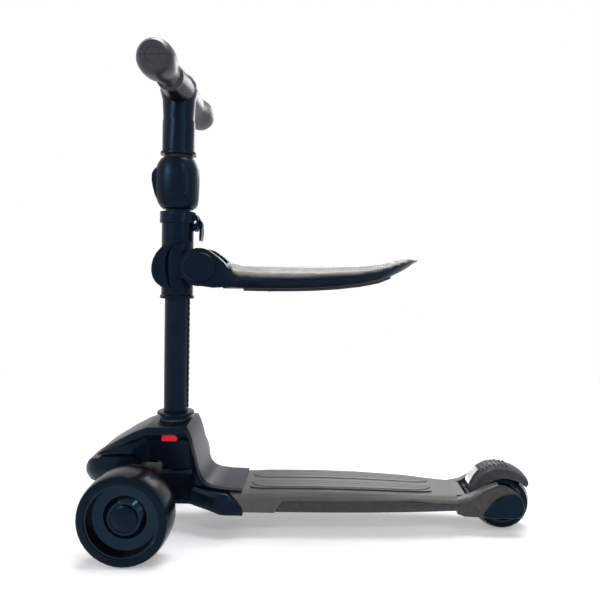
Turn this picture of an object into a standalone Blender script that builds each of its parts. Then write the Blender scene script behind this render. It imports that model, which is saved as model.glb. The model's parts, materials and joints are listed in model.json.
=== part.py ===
# Two-in-one kids scooter: three wheels, lean steering, a telescoping T-bar and a folding seat.
# Metres, +Z up, +X to the rear, -Y the scooter's left. The origin is on the floor, mid length.

import math

import bmesh
import bpy
from mathutils import Matrix, Vector

for old in list(bpy.data.objects):
    bpy.data.objects.remove(old)

MM = 0.001
GAP = 0.3 * MM

# Sides of round pieces: those that show, those that are small and those that are hidden
WHEEL_SIDES = 40
SHOWN = 24
SMALL = 16
HIDDEN = 12

# Front wheels
WHEEL_RADIUS = 60 * MM
WHEEL_WIDTH = 48 * MM
WHEEL_CROWN = 0.9 * MM
TYRE_DEPTH = 12.5 * MM
TRACK = 249 * MM
RIM_WALL = 4 * MM
WEB_FACE = 7 * MM
WEB_BACK = 2.5 * MM
HUB_RADIUS = 28 * MM
HUB_FACE = 12 * MM
HUB_BACK = 16 * MM
HUB_CAP_RADIUS = 17.8 * MM
HUB_CAP_SEAT = 4 * MM
HUB_CAP_RISE = 6.8 * MM
HUB_CAP_WALL = 2.3 * MM
BEARING_RADIUS = 11 * MM
BEARING_INSET = 1.5 * MM
BOLT_RADIUS = 3.9 * MM
BOLT_HEAD_RADIUS = 6.5 * MM
BOLT_HEAD = 4 * MM

# Rear wheel
REAR_RADIUS = 40 * MM
REAR_WIDTH = 36 * MM
REAR_CROWN = 3 * MM
REAR_TYRE_DEPTH = 11 * MM

# Overall length: the beak's overhang, the wheelbase and the rear wheel's radius
NOSE_OVERHANG = 88.4 * MM
WHEELBASE = 508 * MM
HALF_LENGTH = (NOSE_OVERHANG + WHEELBASE + REAR_RADIUS) / 2
FRONT_AXLE_X = NOSE_OVERHANG - HALF_LENGTH
REAR_AXLE_X = HALF_LENGTH - REAR_RADIUS

# Lean steering
KINGPIN_Y = 84 * MM
KNUCKLE_SIZE = 16 * MM
KNUCKLE_HEIGHT = 24 * MM
KNUCKLE_BOSS = 9 * MM
TRUNNION_RADIUS = 4 * MM
STEER_ARM = 30 * MM
STEER_ARM_WIDTH = 10 * MM
TIE_PIN_RADIUS = 2.4 * MM
TIE_SLOT_PLAY = 1.4 * MM
TIE_BAR = 5 * MM
LEAN_PIN_RADIUS = 5 * MM
BEAM_HEIGHT = 16 * MM
BEAM_DEPTH = 18 * MM
BEAM_BOSS_RADIUS = 13 * MM
BEAM_BOSS_LENGTH = 30 * MM
YOKE_PLATE = 5 * MM
YOKE_REACH = 9 * MM
BUSH_PLAY = 0.3 * MM
CHEEK = 3.7 * MM
BUMPER_HEIGHT = 3 * MM
BUMPER_PLAY = 4.6 * MM

# Deck
DECK_FRONT_X = FRONT_AXLE_X + 112 * MM
DECK_REAR_X = REAR_AXLE_X - 68.5 * MM
DECK_TOP = 65.5 * MM
DECK_CREST_X = -14 * MM
DECK_DROOP = 0.19
DECK_BOTTOM = 37 * MM
DECK_HALF_WIDTH = 57 * MM
DECK_SHOULDER = 15 * MM
DECK_WALL = 4 * MM
TRAY_FRONT_X = DECK_FRONT_X + 83.5 * MM
TRAY_TOP = 53.5 * MM
TRAY_RAMP = 12 * MM
TRAY_INSET = 3 * MM
TRAY_WALL = 3 * MM
PAD_FRONT_X = DECK_FRONT_X + 35.5 * MM
PAD_REAR_X = DECK_REAR_X - 34 * MM
PAD_THICKNESS = 1.2 * MM
PAD_RAISE = 1.0 * MM
PAD_MARGIN = 2.5 * MM
PAD_SLOPE = 0.8 * MM
PAD_GROOVE = 0.6 * MM

# Nose, measured from the front axle
HOOD_HALF_WIDTH = 48 * MM
HOOD_RECESS = 6 * MM
HOOD_WALL = 3.5 * MM
ARCH_FRONT = -13 * MM
ARCH_REAR = 23 * MM
ARCH_TOP = 46 * MM
SEAM = 34 * MM
PANEL_FRONT = 5 * MM
PANEL_REAR = 67.5 * MM
BOOT_REAR = 139.5 * MM
STEP = 0.4 * MM

# Stem, in its own frame: z runs up the tube from the collar, x to the rear
STEM_SETBACK = 34 * MM
COLLAR_RISE = 100 * MM
STEM_LEAN = math.radians(1.2)
TUBE_RADIUS = 17.5 * MM
TUBE_WALL = 1.5 * MM
TUBE_INSERTION = 56 * MM
TUBE_TOP = 355 * MM
COLLAR_RADIUS = 27.3 * MM
COLLAR_FOOT = -2.2 * MM
COLLAR_TOP = 7 * MM
SOCKET_RADIUS = 22.5 * MM
SOCKET_FLOOR = 3 * MM
SLIDE_PLAY = 0.4 * MM
INNER_RADIUS = TUBE_RADIUS - TUBE_WALL - SLIDE_PLAY
INNER_TUBE_BOTTOM = 200 * MM
RACK_WIDTH = 5 * MM
RACK_DEPTH = 1.3 * MM
RACK_BOTTOM = 12 * MM
RACK_TOP = 296 * MM
RACK_PITCH = 8 * MM

# Height lock
LOCK_BOTTOM = 300.8 * MM
LOCK_HALF_WIDTH = 28.5 * MM
LOCK_BUTTON_HALF_WIDTH = 14 * MM
LOCK_COLLAR_RADIUS = 20 * MM
LOCK_BACK = TUBE_RADIUS + 1.5 * MM
BUTTON_TRAVEL = 3 * MM

# T-bar
SLEEVE_BOTTOM = LOCK_BOTTOM + 77.8 * MM
SLEEVE_TOP = SLEEVE_BOTTOM + 48 * MM
SLEEVE_RADIUS = 23.2 * MM
SLEEVE_FLANGE_RADIUS = 25.7 * MM
BAR_HEIGHT = SLEEVE_TOP + 43.4 * MM
BAR_SETBACK = 3 * MM
BAR_HALF_WIDTH = 150 * MM
BAR_RADIUS = 11.1 * MM
HUB_BULGE = 27 * MM
ARM_RADIUS = 19 * MM
GRIP_LENGTH = 86 * MM
GRIP_RADIUS = 15.5 * MM
GRIP_BULB_RADIUS = 24 * MM
END_CAP_RADIUS = 9.6 * MM
END_CAP_DEPTH = 2.8 * MM

# Seat bracket
BRACKET_BOTTOM = 172.4 * MM
BRACKET_TOP = LOCK_BOTTOM - 3.5 * MM
BRACKET_RADIUS = 22.8 * MM
BRACKET_FLANGE_RADIUS = 24.5 * MM
BAND_HEIGHT = 16.3 * MM
BAND_RADIUS = 25.6 * MM
CLAMP_X = BAND_RADIUS + 1.2 * MM
CLAMP_Z = BRACKET_TOP - 15 * MM
CAM_RADIUS = 3.3 * MM
EAR_REACH = 12.5
EAR_NOSE = 5.3
EAR_NEAR = 5 * MM
EAR_FAR = 9 * MM
CLAMP_PIN_RADIUS = 2 * MM
HINGE_X = 38.9 * MM
HINGE_Z = BRACKET_BOTTOM + 45.8 * MM
HINGE_PIN_RADIUS = 4 * MM
LUG_RADIUS = 17 * MM
LUG_HALF_WIDTH = 21 * MM
LOBE_HALF_WIDTH = 18 * MM
CHEEK_HALF_WIDTH = 24.5 * MM

# Seat, in the frame of its hinge: x to the rear, z up
SEAT_HUB_RADIUS = 27 * MM
SEAT_HUB_THICKNESS = 15.5 * MM
SEAT_ARM_REACH = 60 * MM
SEAT_BUTTON_LENGTH = 23.5 * MM
SEAT_BUTTON_HEIGHT = 20.5 * MM
SEAT_BUTTON_PROUD = 2.5 * MM
SEAT_BUTTON_POCKET = 11.5 * MM
SEAT_BUTTON_TRAVEL = 3 * MM
SEAT_LENGTH = 307 * MM
SEAT_HALF_WIDTH = 62 * MM
SEAT_CROWN = 14.5 * MM
SEAT_COVER = 2.6 * MM

# Release button, measured from the front axle
RELEASE_BACK = 35.5 * MM
RELEASE_RISE = 78.4 * MM
RELEASE_LENGTH = 22.6 * MM
RELEASE_HEIGHT = 10 * MM
RELEASE_PROUD = 2.5 * MM
RELEASE_TRAVEL = 3 * MM

# Rear fork and brake
FENDER_HALF_WIDTH = 26 * MM
FENDER_GAP = 12 * MM
FENDER_WALL = 3.2 * MM
FENDER_RIBS = 7
SIDE_CLEARANCE = 1.5 * MM
FORK_PLATE_Y = FENDER_HALF_WIDTH + SIDE_CLEARANCE
FORK_OUTER = FORK_PLATE_Y + 10.5 * MM
FORK_BOSS_RADIUS = 11 * MM
COVER_THICKNESS = 3 * MM
AXLE_RADIUS = 4 * MM
BRAKE_X = REAR_AXLE_X - 46 * MM
BRAKE_Z = REAR_RADIUS + 10 * MM
BRAKE_PIN_RADIUS = 2.5 * MM
BRAKE_BARREL = 5 * MM
TONGUE_GAP = 4 * MM


# Finishes

def finish(name, colour, roughness, metallic=0.0):
    """One plain material per finish, kept by name."""
    material = bpy.data.materials.new(name)
    material.use_nodes = True
    shader = material.node_tree.nodes["Principled BSDF"]
    shader.inputs["Base Color"].default_value = (*colour, 1.0)
    shader.inputs["Roughness"].default_value = roughness
    shader.inputs["Metallic"].default_value = metallic
    return material


SATIN_BLACK = finish("satin_black", (0.012, 0.013, 0.018), 0.38)
GLOSS_BLACK = finish("gloss_black", (0.006, 0.006, 0.009), 0.12)
DECK_GREY = finish("deck_grey", (0.045, 0.043, 0.041), 0.45)
DARK_GREY = finish("dark_grey", (0.028, 0.028, 0.029), 0.5)
GRIP_GREY = finish("grip_grey", (0.05, 0.052, 0.056), 0.42)
PAD_GREY = finish("pad_grey", (0.07, 0.07, 0.068), 0.5)
TUBE_BLACK = finish("tube_black", (0.006, 0.007, 0.014), 0.3, 0.6)
STEEL = finish("steel", (0.55, 0.55, 0.56), 0.3, 1.0)
CAST_METAL = finish("cast_metal", (0.2, 0.2, 0.21), 0.45, 0.9)
TYRE_BLACK = finish("tyre_black", (0.008, 0.008, 0.011), 0.1)
RED = finish("red", (0.75, 0.012, 0.02), 0.35)
SILVER = finish("silver", (0.7, 0.7, 0.71), 0.22, 1.0)
RUBBER = finish("rubber", (0.02, 0.02, 0.02), 0.8)


# Tools for making solids

def raw(bm):
    """A bare object that holds a finished mesh, ready for a Boolean or a name."""
    bmesh.ops.recalc_face_normals(bm, faces=bm.faces)
    mesh = bpy.data.meshes.new("raw")
    bm.to_mesh(mesh)
    bm.free()
    shape = bpy.data.objects.new("raw", mesh)
    bpy.context.scene.collection.objects.link(shape)
    return shape


def combine(shape, tool, operation):
    """Applies one exact Boolean and removes its tool."""
    modifier = shape.modifiers.new("combine", "BOOLEAN")
    modifier.operation = operation
    modifier.solver = "EXACT"
    modifier.object = tool
    bpy.context.view_layer.update()
    graph = bpy.context.evaluated_depsgraph_get()
    mesh = bpy.data.meshes.new_from_object(shape.evaluated_get(graph))
    shape.modifiers.clear()
    shape.data = mesh
    bpy.data.objects.remove(tool)
    return shape


def join(shape, *tools):
    for tool in tools:
        combine(shape, tool, "UNION")
    return shape


def cut(shape, *tools):
    for tool in tools:
        combine(shape, tool, "DIFFERENCE")
    return shape


def loft(rings):
    """Skins a row of rings that have the same number of points, and caps both ends."""
    bm = bmesh.new()
    rows = [[bm.verts.new(point) for point in row] for row in rings]
    for row, following in zip(rows, rows[1:]):
        for i in range(len(row)):
            j = (i + 1) % len(row)
            bm.faces.new((row[i], row[j], following[j], following[i]))
    bm.faces.new(rows[0])
    bm.faces.new(rows[-1])
    return raw(bm)


def hoop(radius, height, steps, axis="Z", at=(0, 0, 0)):
    """Points round a circle whose axis is X, Y or Z."""
    points = []
    for i in range(steps):
        angle = math.tau * i / steps
        c = radius * round(math.cos(angle), 9)
        s = radius * round(math.sin(angle), 9)
        point = {"X": (height, c, s), "Y": (c, height, s), "Z": (c, s, height)}[axis]
        points.append(tuple(p + q for p, q in zip(point, at)))
    return points


def turned(profile, steps=SHOWN, axis="Z", at=(0, 0, 0)):
    """Turns (radius, height) points, in order round the section, about an axis."""
    bm = bmesh.new()
    rings = []
    for radius, height in profile:
        points = hoop(radius, height, steps, axis, at)
        rings.append([bm.verts.new(point) for point in (points if radius else points[:1])])
    for ring, following in zip(rings, rings[1:] + rings[:1]):
        if len(ring) == 1 and len(following) == 1:
            continue
        for i in range(steps):
            j = (i + 1) % steps
            corners = (ring[i % len(ring)], ring[j % len(ring)],
                       following[j % len(following)], following[i % len(following)])
            bm.faces.new(list(dict.fromkeys(corners)))
    return raw(bm)


def rod(radius, low, high, axis="Z", at=(0, 0, 0), steps=HIDDEN):
    return loft([hoop(radius, low, steps, axis, at), hoop(radius, high, steps, axis, at)])


def sleeve(outer, inner, low, high, axis="Z", steps=SHOWN):
    return turned([(outer, low), (outer, high), (inner, high), (inner, low)], steps, axis)


def block(low, high):
    """A box between two corners, in any order."""
    xs, ys, zs = (sorted(pair) for pair in zip(low, high))
    return loft([[(xs[0], y, zs[0]), (xs[1], y, zs[0]), (xs[1], y, zs[1]), (xs[0], y, zs[1])] for y in ys])


def prism(outline, low, high, bevel=0.0):
    """Pushes an outline of (x, z) points along Y from low to high, with its end edges cut back."""
    low, high = sorted((low, high))
    if not bevel:
        return loft([[(x, y, z) for x, z in outline] for y in (low, high)])
    bm = bmesh.new()
    face = bm.faces.new([bm.verts.new((x, low, z)) for x, z in outline])
    moved = bmesh.ops.extrude_face_region(bm, geom=[face])["geom"]
    verts = [item for item in moved if isinstance(item, bmesh.types.BMVert)]
    bmesh.ops.translate(bm, verts=verts, vec=(0, high - low, 0))
    ends = [e for e in bm.edges if abs(e.verts[0].co.y - e.verts[1].co.y) < GAP]
    bmesh.ops.bevel(bm, geom=ends, offset=bevel, segments=1, affect="EDGES")
    return raw(bm)


def arc(x, z, radius, start, end, steps):
    """Points on an arc in degrees, from start to end, both included."""
    points = []
    for i in range(steps + 1):
        angle = math.radians(start + (end - start) * i / steps)
        points.append((x + radius * math.cos(angle), z + radius * math.sin(angle)))
    return points


def run(x, points):
    """The value at x on straight runs through (x, value) points, held level past both ends."""
    if x <= points[0][0]:
        return points[0][1]
    for (x0, y0), (x1, y1) in zip(points, points[1:]):
        if x <= x1:
            return y0 + (y1 - y0) * (x - x0) / (x1 - x0)
    return points[-1][1]


def section(x, half):
    """Closes a half section of (y, z) points, from the top centre to the bottom centre, at x."""
    return [(x, y, z) for y, z in half] + [(x, -y, z) for y, z in reversed(half) if y > 0]


def from_front(points):
    """Turns (x, z) in mm from the front axle into metres in the scooter's frame."""
    return [(FRONT_AXLE_X + x * MM, WHEEL_RADIUS + z * MM) for x, z in points]


def from_rear(points):
    """Turns (x, z) in mm from the rear axle into metres in the scooter's frame."""
    return [(REAR_AXLE_X + x * MM, REAR_RADIUS + z * MM) for x, z in points]


def empty(name, at, parent=None, turn=(0, 0, 0)):
    """A joint's pivot, which pieces hang on."""
    pivot = bpy.data.objects.new(name, None)
    bpy.context.scene.collection.objects.link(pivot)
    pivot.parent = parent
    pivot.location = at
    pivot.rotation_euler = turn
    return pivot


def piece(name, shape, material, parent=None, at=(0, 0, 0), sharp=35):
    """Names a finished solid, gives it its material and hangs it on its pivot."""
    shape.name = name
    shape.data.name = name
    shape.data.materials.clear()
    shape.data.materials.append(material)
    for polygon in shape.data.polygons:
        polygon.material_index = 0
    shape.data.shade_smooth()
    shape.data.set_sharp_from_angle(angle=math.radians(sharp))
    shape.parent = parent
    shape.location = at
    return shape


# Wheels

def tyre(radius, width, crown, depth):
    """A nearly flat tread with soft shoulders, seated on the rim at radius - depth."""
    half = width / 2
    outer = [(radius - depth, half), (radius - crown - 5 * MM, half),
             (radius - crown - 1.5 * MM, half - 1.7 * MM), (radius - crown, half - 6 * MM), (radius, half * 0.3)]
    return turned(outer + [(r, -y) for r, y in reversed(outer)], WHEEL_SIDES, "Y")


def front_wheel(side, name):
    """One front wheel on its axle pivot. The hub cap faces outward, to +side."""
    reach = TRACK / 2 - KINGPIN_Y
    pivot = empty(f"pivot_wheel_{name}", (0, side * reach, 0), knuckle_pivots[name])

    def facing(profile, steps=WHEEL_SIDES):
        return turned([(r, side * y) for r, y in profile], steps, "Y")

    piece(f"tyre_{name}", tyre(WHEEL_RADIUS, WHEEL_WIDTH, WHEEL_CROWN, TYRE_DEPTH), TYRE_BLACK, pivot)
    seat = WHEEL_RADIUS - TYRE_DEPTH - GAP
    half = WHEEL_WIDTH / 2 - 1 * MM
    barrel = seat - RIM_WALL
    pocket = HUB_CAP_RADIUS + GAP
    pocket_floor = HUB_FACE - HUB_CAP_SEAT
    bore = BEARING_RADIUS + GAP
    rim = facing([(seat, half), (barrel + 1.5 * MM, half), (barrel - 1.5 * MM, WEB_FACE + 2.5 * MM),
                  (HUB_RADIUS, WEB_FACE), (pocket + 3.5 * MM, HUB_FACE), (pocket, HUB_FACE), (pocket, pocket_floor),
                  (bore, pocket_floor), (bore, -HUB_BACK), (bore + 8 * MM, -HUB_BACK), (HUB_RADIUS - 4 * MM, WEB_BACK),
                  (barrel - 1.5 * MM, WEB_BACK), (barrel, -half), (seat, -half)])
    piece(f"rim_{name}", rim, GLOSS_BLACK, pivot)
    base = pocket_floor + GAP
    top = HUB_FACE + HUB_CAP_RISE
    inside = HUB_CAP_RADIUS - HUB_CAP_WALL
    cap = facing([(HUB_CAP_RADIUS, base), (HUB_CAP_RADIUS, top - 4.3 * MM), (HUB_CAP_RADIUS * 0.76, top - 1.3 * MM),
                  (0, top), (0, top - HUB_CAP_WALL), (inside, top - HUB_CAP_WALL - 3.5 * MM), (inside, base)], SMALL)
    piece(f"hub_cap_{name}", cap, SATIN_BLACK, pivot)
    low = -HUB_BACK + BEARING_INSET
    high = pocket_floor - GAP
    hole = BOLT_RADIUS + BUSH_PLAY
    bearing = facing([(BEARING_RADIUS, low), (BEARING_RADIUS, high), (hole, high), (hole, low)], HIDDEN)
    piece(f"bearing_{name}", bearing, STEEL, pivot)
    foot = -reach - KNUCKLE_SIZE / 4
    head = high + GAP
    bolt = facing([(0, foot), (BOLT_RADIUS, foot), (BOLT_RADIUS, head), (BOLT_HEAD_RADIUS, head),
                   (BOLT_HEAD_RADIUS, head + BOLT_HEAD), (0, head + BOLT_HEAD)], HIDDEN)
    piece(f"wheel_bolt_{name}", bolt, STEEL, knuckle_pivots[name], (0, side * reach, 0))


def rear_wheel():
    pivot = empty("pivot_rear_wheel", (REAR_AXLE_X, 0, REAR_RADIUS))
    piece("rear_tyre", tyre(REAR_RADIUS, REAR_WIDTH, REAR_CROWN, REAR_TYRE_DEPTH), TYRE_BLACK, pivot)
    seat = REAR_RADIUS - REAR_TYRE_DEPTH - GAP
    half = REAR_WIDTH / 2 - 1 * MM
    bore = BEARING_RADIUS + GAP
    web = 5 * MM
    outer = [(seat, half), (seat - RIM_WALL, half), (seat - RIM_WALL, web), (bore + 5 * MM, web),
             (bore + 5 * MM, half), (bore, half)]
    rim = turned(outer + [(r, -y) for r, y in reversed(outer)], WHEEL_SIDES, "Y")
    piece("rear_rim", rim, GLOSS_BLACK, pivot)
    reach = half - BEARING_INSET
    bearing = sleeve(BEARING_RADIUS, AXLE_RADIUS + BUSH_PLAY, -reach, reach, "Y", HIDDEN)
    piece("rear_bearing", bearing, STEEL, pivot)


# Lean steering: a beam that rocks about a lengthwise pin, and two knuckles joined by a tie rod

def axle_beam():
    """The beam in the frame of its lean pin, with a yoke for a knuckle at each end."""
    half_z = BEAM_HEIGHT / 2
    half_x = BEAM_DEPTH / 2
    plate = KNUCKLE_HEIGHT / 2 + GAP
    tip = plate + YOKE_PLATE
    end = KINGPIN_Y + YOKE_REACH
    throat = KINGPIN_Y - KNUCKLE_SIZE / 2 * math.sqrt(2) - 1.5 * MM
    root = throat - 10 * MM
    outline = [(-root, half_z), (-root, tip), (-end, tip), (-end, plate), (-throat, plate), (-throat, -plate),
               (-end, -plate), (-end, -tip), (-root, -tip), (-root, -half_z)]
    outline += [(-y, z) for y, z in reversed(outline)]
    beam = loft([[(x, y, z) for y, z in outline] for x in (-half_x, half_x)])
    for side in (-1, 1):
        cut(beam, rod(TRUNNION_RADIUS + BUSH_PLAY, -2 * tip, 2 * tip, "Z", (0, side * KINGPIN_Y, 0)))
    join(beam, rod(BEAM_BOSS_RADIUS, -BEAM_BOSS_LENGTH / 2, BEAM_BOSS_LENGTH / 2, "X"))
    cut(beam, rod(LEAN_PIN_RADIUS + BUSH_PLAY, -BEAM_BOSS_LENGTH, BEAM_BOSS_LENGTH, "X"))
    piece("axle_beam", beam, CAST_METAL, lean_pivot)


def knuckle(side, name):
    """A block on two trunnions, a boss toward the wheel and an arm forward to the tie rod."""
    half = KNUCKLE_SIZE / 2
    height = KNUCKLE_HEIGHT / 2
    bearing = TRACK / 2 - KINGPIN_Y - HUB_BACK + BEARING_INSET
    arm_top = -height / 2
    arm_bottom = -height + 1 * MM
    body = block((-half, -half, -height), (half, half, height))
    join(body, rod(KNUCKLE_BOSS, side * (half - 2 * MM), side * (bearing - GAP), "Y"))
    join(body, rod(TRUNNION_RADIUS, -height - YOKE_PLATE, height + YOKE_PLATE))
    join(body, block((-STEER_ARM - 6 * MM, -STEER_ARM_WIDTH / 2, arm_bottom),
                     (-half + 2 * MM, STEER_ARM_WIDTH / 2, arm_top)))
    join(body, rod(TIE_PIN_RADIUS, arm_bottom + 1 * MM, arm_top + TIE_BAR + 2 * MM, "Z", (-STEER_ARM, 0, 0)))
    cut(body, rod(BOLT_RADIUS + GAP, side * (-KNUCKLE_SIZE / 4 - 2 * GAP), side * (bearing + GAP), "Y"))
    piece(f"knuckle_{name}", body, CAST_METAL, knuckle_pivots[name])


def tie_rod():
    """A flat bar with a hole at each end that leaves the arms' pins room to swing fore and aft."""
    reach = TIE_PIN_RADIUS + TIE_SLOT_PLAY
    half_width = reach + 2 * MM
    end = KINGPIN_Y + reach + 2.5 * MM
    low = -KNUCKLE_HEIGHT / 4 + 0.5 * MM
    bar = block((-STEER_ARM - half_width, -end, low), (-STEER_ARM + half_width, end, low + TIE_BAR))
    for side in (-1, 1):
        cut(bar, rod(reach, low - TIE_BAR, low + 2 * TIE_BAR, "Z", (-STEER_ARM, side * KINGPIN_Y, 0)))
    piece("tie_rod", bar, STEEL, lean_pivot)


def pivot_bracket():
    """Two cheeks, fore and aft of the beam's boss, that carry the lean pin and the bumpers' shelf."""
    near = BEAM_BOSS_LENGTH / 2 + GAP
    far = near + CHEEK
    top = ARCH_TOP - GAP
    shelf = BEAM_HEIGHT / 2 + BUMPER_PLAY + BUMPER_HEIGHT + GAP
    socket_foot = COLLAR_RISE - TUBE_INSERTION - SOCKET_FLOOR - 3 * MM
    bracket = rod(LEAN_PIN_RADIUS, -far - 2 * MM, far + 2 * MM, "X")
    join(bracket, block((-far, -12 * MM, -BEAM_BOSS_RADIUS), (-near, 12 * MM, top)))
    join(bracket, block((near, -12 * MM, -BEAM_BOSS_RADIUS), (far, 12 * MM, socket_foot)))
    join(bracket, block((-far + 1 * MM, -30 * MM, shelf), (far - 1 * MM, 30 * MM, shelf + 3 * MM)))
    join(bracket, block((-far + 0.5 * MM, -16 * MM, top - CHEEK), (8 * MM, 16 * MM, top - 0.2 * MM)))
    piece("pivot_bracket", bracket, CAST_METAL, None, (FRONT_AXLE_X, 0, WHEEL_RADIUS))


def lean_bumpers():
    """Rubber stops that hang from the bracket's shelf over the beam and end its lean."""
    low = BEAM_HEIGHT / 2 + BUMPER_PLAY
    for side, name in ((-1, "left"), (1, "right")):
        bumper = block((-7 * MM, side * 17 * MM, low), (7 * MM, side * 29 * MM, low + BUMPER_HEIGHT))
        piece(f"lean_bumper_{name}", bumper, RUBBER, None, (FRONT_AXLE_X, 0, WHEEL_RADIUS))


# Deck

def along_deck(share):
    return DECK_FRONT_X + (DECK_REAR_X - DECK_FRONT_X) * share


def deck_top(x):
    """The deck is level at its crest and falls away toward the rear."""
    return DECK_TOP - DECK_DROOP * (x - DECK_CREST_X) ** 2


def deck_width(x):
    share = (x - DECK_FRONT_X) / (DECK_REAR_X - DECK_FRONT_X)
    return DECK_HALF_WIDTH * run(share, [(0.0, 0.97), (0.06, 0.985), (0.255, 1.0), (0.53, 0.985), (0.745, 0.92),
                                         (0.895, 0.84), (1.0, 0.77)])


def tray_line(x):
    """The line where deck and tray meet, which dips toward the rear."""
    return TRAY_TOP + run(x, [(along_deck(0.8), 0.0), (along_deck(0.93), -5 * MM), (DECK_REAR_X, -6 * MM)])


def deck_floor(x):
    """The deck reaches right down in front, and stops at the tray further back."""
    if x < TRAY_FRONT_X:
        return run(x, [(TRAY_FRONT_X - TRAY_RAMP, DECK_BOTTOM), (TRAY_FRONT_X, TRAY_TOP)])
    return tray_line(x)


def deck_ring(x, grow=0.0):
    top = deck_top(x) + grow
    width = deck_width(x) + grow
    tread = width - DECK_SHOULDER
    floor = deck_floor(x) - grow
    depth = top - floor
    return section(x, [(0, top), (tread, top), (tread + 0.55 * DECK_SHOULDER, top - 2.5 * MM),
                       (width - 1.5 * MM, top - min(7 * MM, depth * 0.45)), (width, top - min(11 * MM, depth * 0.7)),
                       (width - 0.3 * MM, floor + 1 * MM), (width - 1.5 * MM, floor), (0, floor)])


HORN_LINE = [(-86.5, 8.5), (-68.5, 8.0), (-50.5, 12.5), (-31.5, 24.6), (-12.5, 31.8)]
HORN_HEIGHTS = (6.0, 5.5, 5.0, 3.7, 2.5)
HORN_WIDTHS = (15.0, 14.0, 13.0, 11.5, 9.0)


def horn(side):
    """The deck's shoulder sweeps up each side of the brake and ends over the wheel."""
    inner = side * FORK_PLATE_Y
    soft = 1.8 * MM
    rings = []
    for (x, low), height, width in zip(from_rear(HORN_LINE), HORN_HEIGHTS, HORN_WIDTHS):
        high = low + height * MM
        outer = inner + side * width * MM
        rings.append([(x, inner, low), (x, outer, low), (x, outer, high - soft), (x, outer - side * soft, high),
                      (x, inner, high)])
    return loft(rings)


def deck_shell():
    stations = [DECK_FRONT_X, along_deck(0.09), along_deck(0.17), TRAY_FRONT_X - TRAY_RAMP, TRAY_FRONT_X]
    stations += [along_deck(share) for share in (0.36, 0.46, 0.6, 0.72, 0.8, 0.9, 1.0)]
    shell = loft([deck_ring(x) for x in stations])
    hollow = []
    for x in (TRAY_FRONT_X + DECK_WALL, along_deck(0.46), along_deck(0.72), along_deck(0.86)):
        width = deck_width(x) - DECK_SHOULDER
        ceiling = deck_top(x) - DECK_WALL
        hollow.append(section(x, [(0, ceiling), (width, ceiling), (width, TRAY_TOP - 8 * MM), (0, TRAY_TOP - 8 * MM)]))
    cut(shell, loft(hollow))
    top = deck_top(DECK_REAR_X)
    tongue = block((DECK_REAR_X - DECK_WALL, -FORK_PLATE_Y - 1 * MM, top - DECK_WALL),
                   (BRAKE_X - BRAKE_BARREL - TONGUE_GAP, FORK_PLATE_Y + 1 * MM, top - 0.4 * MM))
    join(shell, horn(-1), horn(1), tongue)
    piece("deck_shell", shell, DECK_GREY)


def tread_pad():
    """A grip pad that follows the deck's fall: two long raised ovals, each with three grooves."""
    rings = []
    for share, taper, swell in ((0, 0.84, 0.1), (0.012, 0.9, 0.42), (0.03, 0.95, 0.66), (0.06, 0.99, 0.87), (0.1, 1, 1),
                                (0.35, 1, 1), (0.6, 1, 1), (0.8, 1, 1), (0.9, 1, 1), (0.94, 0.99, 0.87),
                                (0.97, 0.95, 0.66), (0.988, 0.9, 0.42), (1, 0.84, 0.1)):
        x = PAD_FRONT_X + (PAD_REAR_X - PAD_FRONT_X) * share
        edge = (deck_width(x) - DECK_SHOULDER - 3 * MM) * taper
        base = deck_top(x) + 2 * GAP
        level = base + PAD_THICKNESS
        half = (edge / 2 - PAD_MARGIN) * swell
        row = [(-edge, base), (-edge, level)]
        for middle in (-edge / 2, edge / 2):
            row += [(middle - half, level), (middle - half + PAD_SLOPE * swell, level + PAD_RAISE)]
            for groove in (-0.4, 0, 0.4):
                line = middle + groove * half
                width = PAD_GROOVE * swell
                row += [(line - width, level + PAD_RAISE), (line, level + PAD_RAISE - PAD_GROOVE),
                        (line + width, level + PAD_RAISE)]
            row += [(middle + half - PAD_SLOPE * swell, level + PAD_RAISE), (middle + half, level)]
        row += [(edge, level), (edge, base)]
        rings.append([(x, y, z) for y, z in row])
    piece("tread_pad", loft(rings), RUBBER)


def underside_tray():
    """The dark lower half of the deck, a tray with its open side up."""
    front = TRAY_FRONT_X - TRAY_RAMP + 2 * MM
    rear = DECK_REAR_X - 2 * GAP
    floor = DECK_BOTTOM - 0.5 * MM
    rings, pocket = [], []
    reach = rear - front
    for share in (0, (TRAY_FRONT_X - front) / reach, 0.1, 0.3, 0.5, 0.7, 0.85, 0.95, 1):
        x = front + reach * share
        width = deck_width(x) - TRAY_INSET
        top = deck_floor(x) - 2 * GAP
        rings.append(section(x, [(0, top), (width, top), (width + 1 * MM, (top + floor) / 2),
                                 (width - 3 * MM, floor), (0, floor)]))
        if 0 < share < 1:
            inner = width - TRAY_WALL - 1 * MM
            pocket.append(section(x, [(0, top + 9 * MM), (inner, top + 9 * MM), (inner, floor + TRAY_WALL),
                                      (0, floor + TRAY_WALL)]))
    piece("underside_tray", cut(loft(rings), loft(pocket)), DARK_GREY)


# Nose: a hood over the stem's socket, a lip in front and a boot round the deck's front end

HOOD_TOP = from_front([(-68, 55.4), (-61.5, 61.5), (-49, 69.4), (-32, 79.9), (-15, 88.6), (3, 95.2), (59.5, 96.3),
                       (63.5, 88), (67, 76.5), (70.5, 62), (73.5, 48), (76.5, 35.5), (80, 24.5), (86, 16),
                       (95, 11), (112, 8), (137.5, 6.6)])
HOOD_WIDTHS = [(x * MM, share) for x, share in ((-68, 0.86), (-49, 1.04), (-15, 1.13), (35, 1.06), (65, 0.98),
                                                (80, 0.96), (105, 1.0), (137.5, 1.02))]


def hood_half_width(x):
    return HOOD_HALF_WIDTH * run(x - FRONT_AXLE_X, HOOD_WIDTHS)


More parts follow.
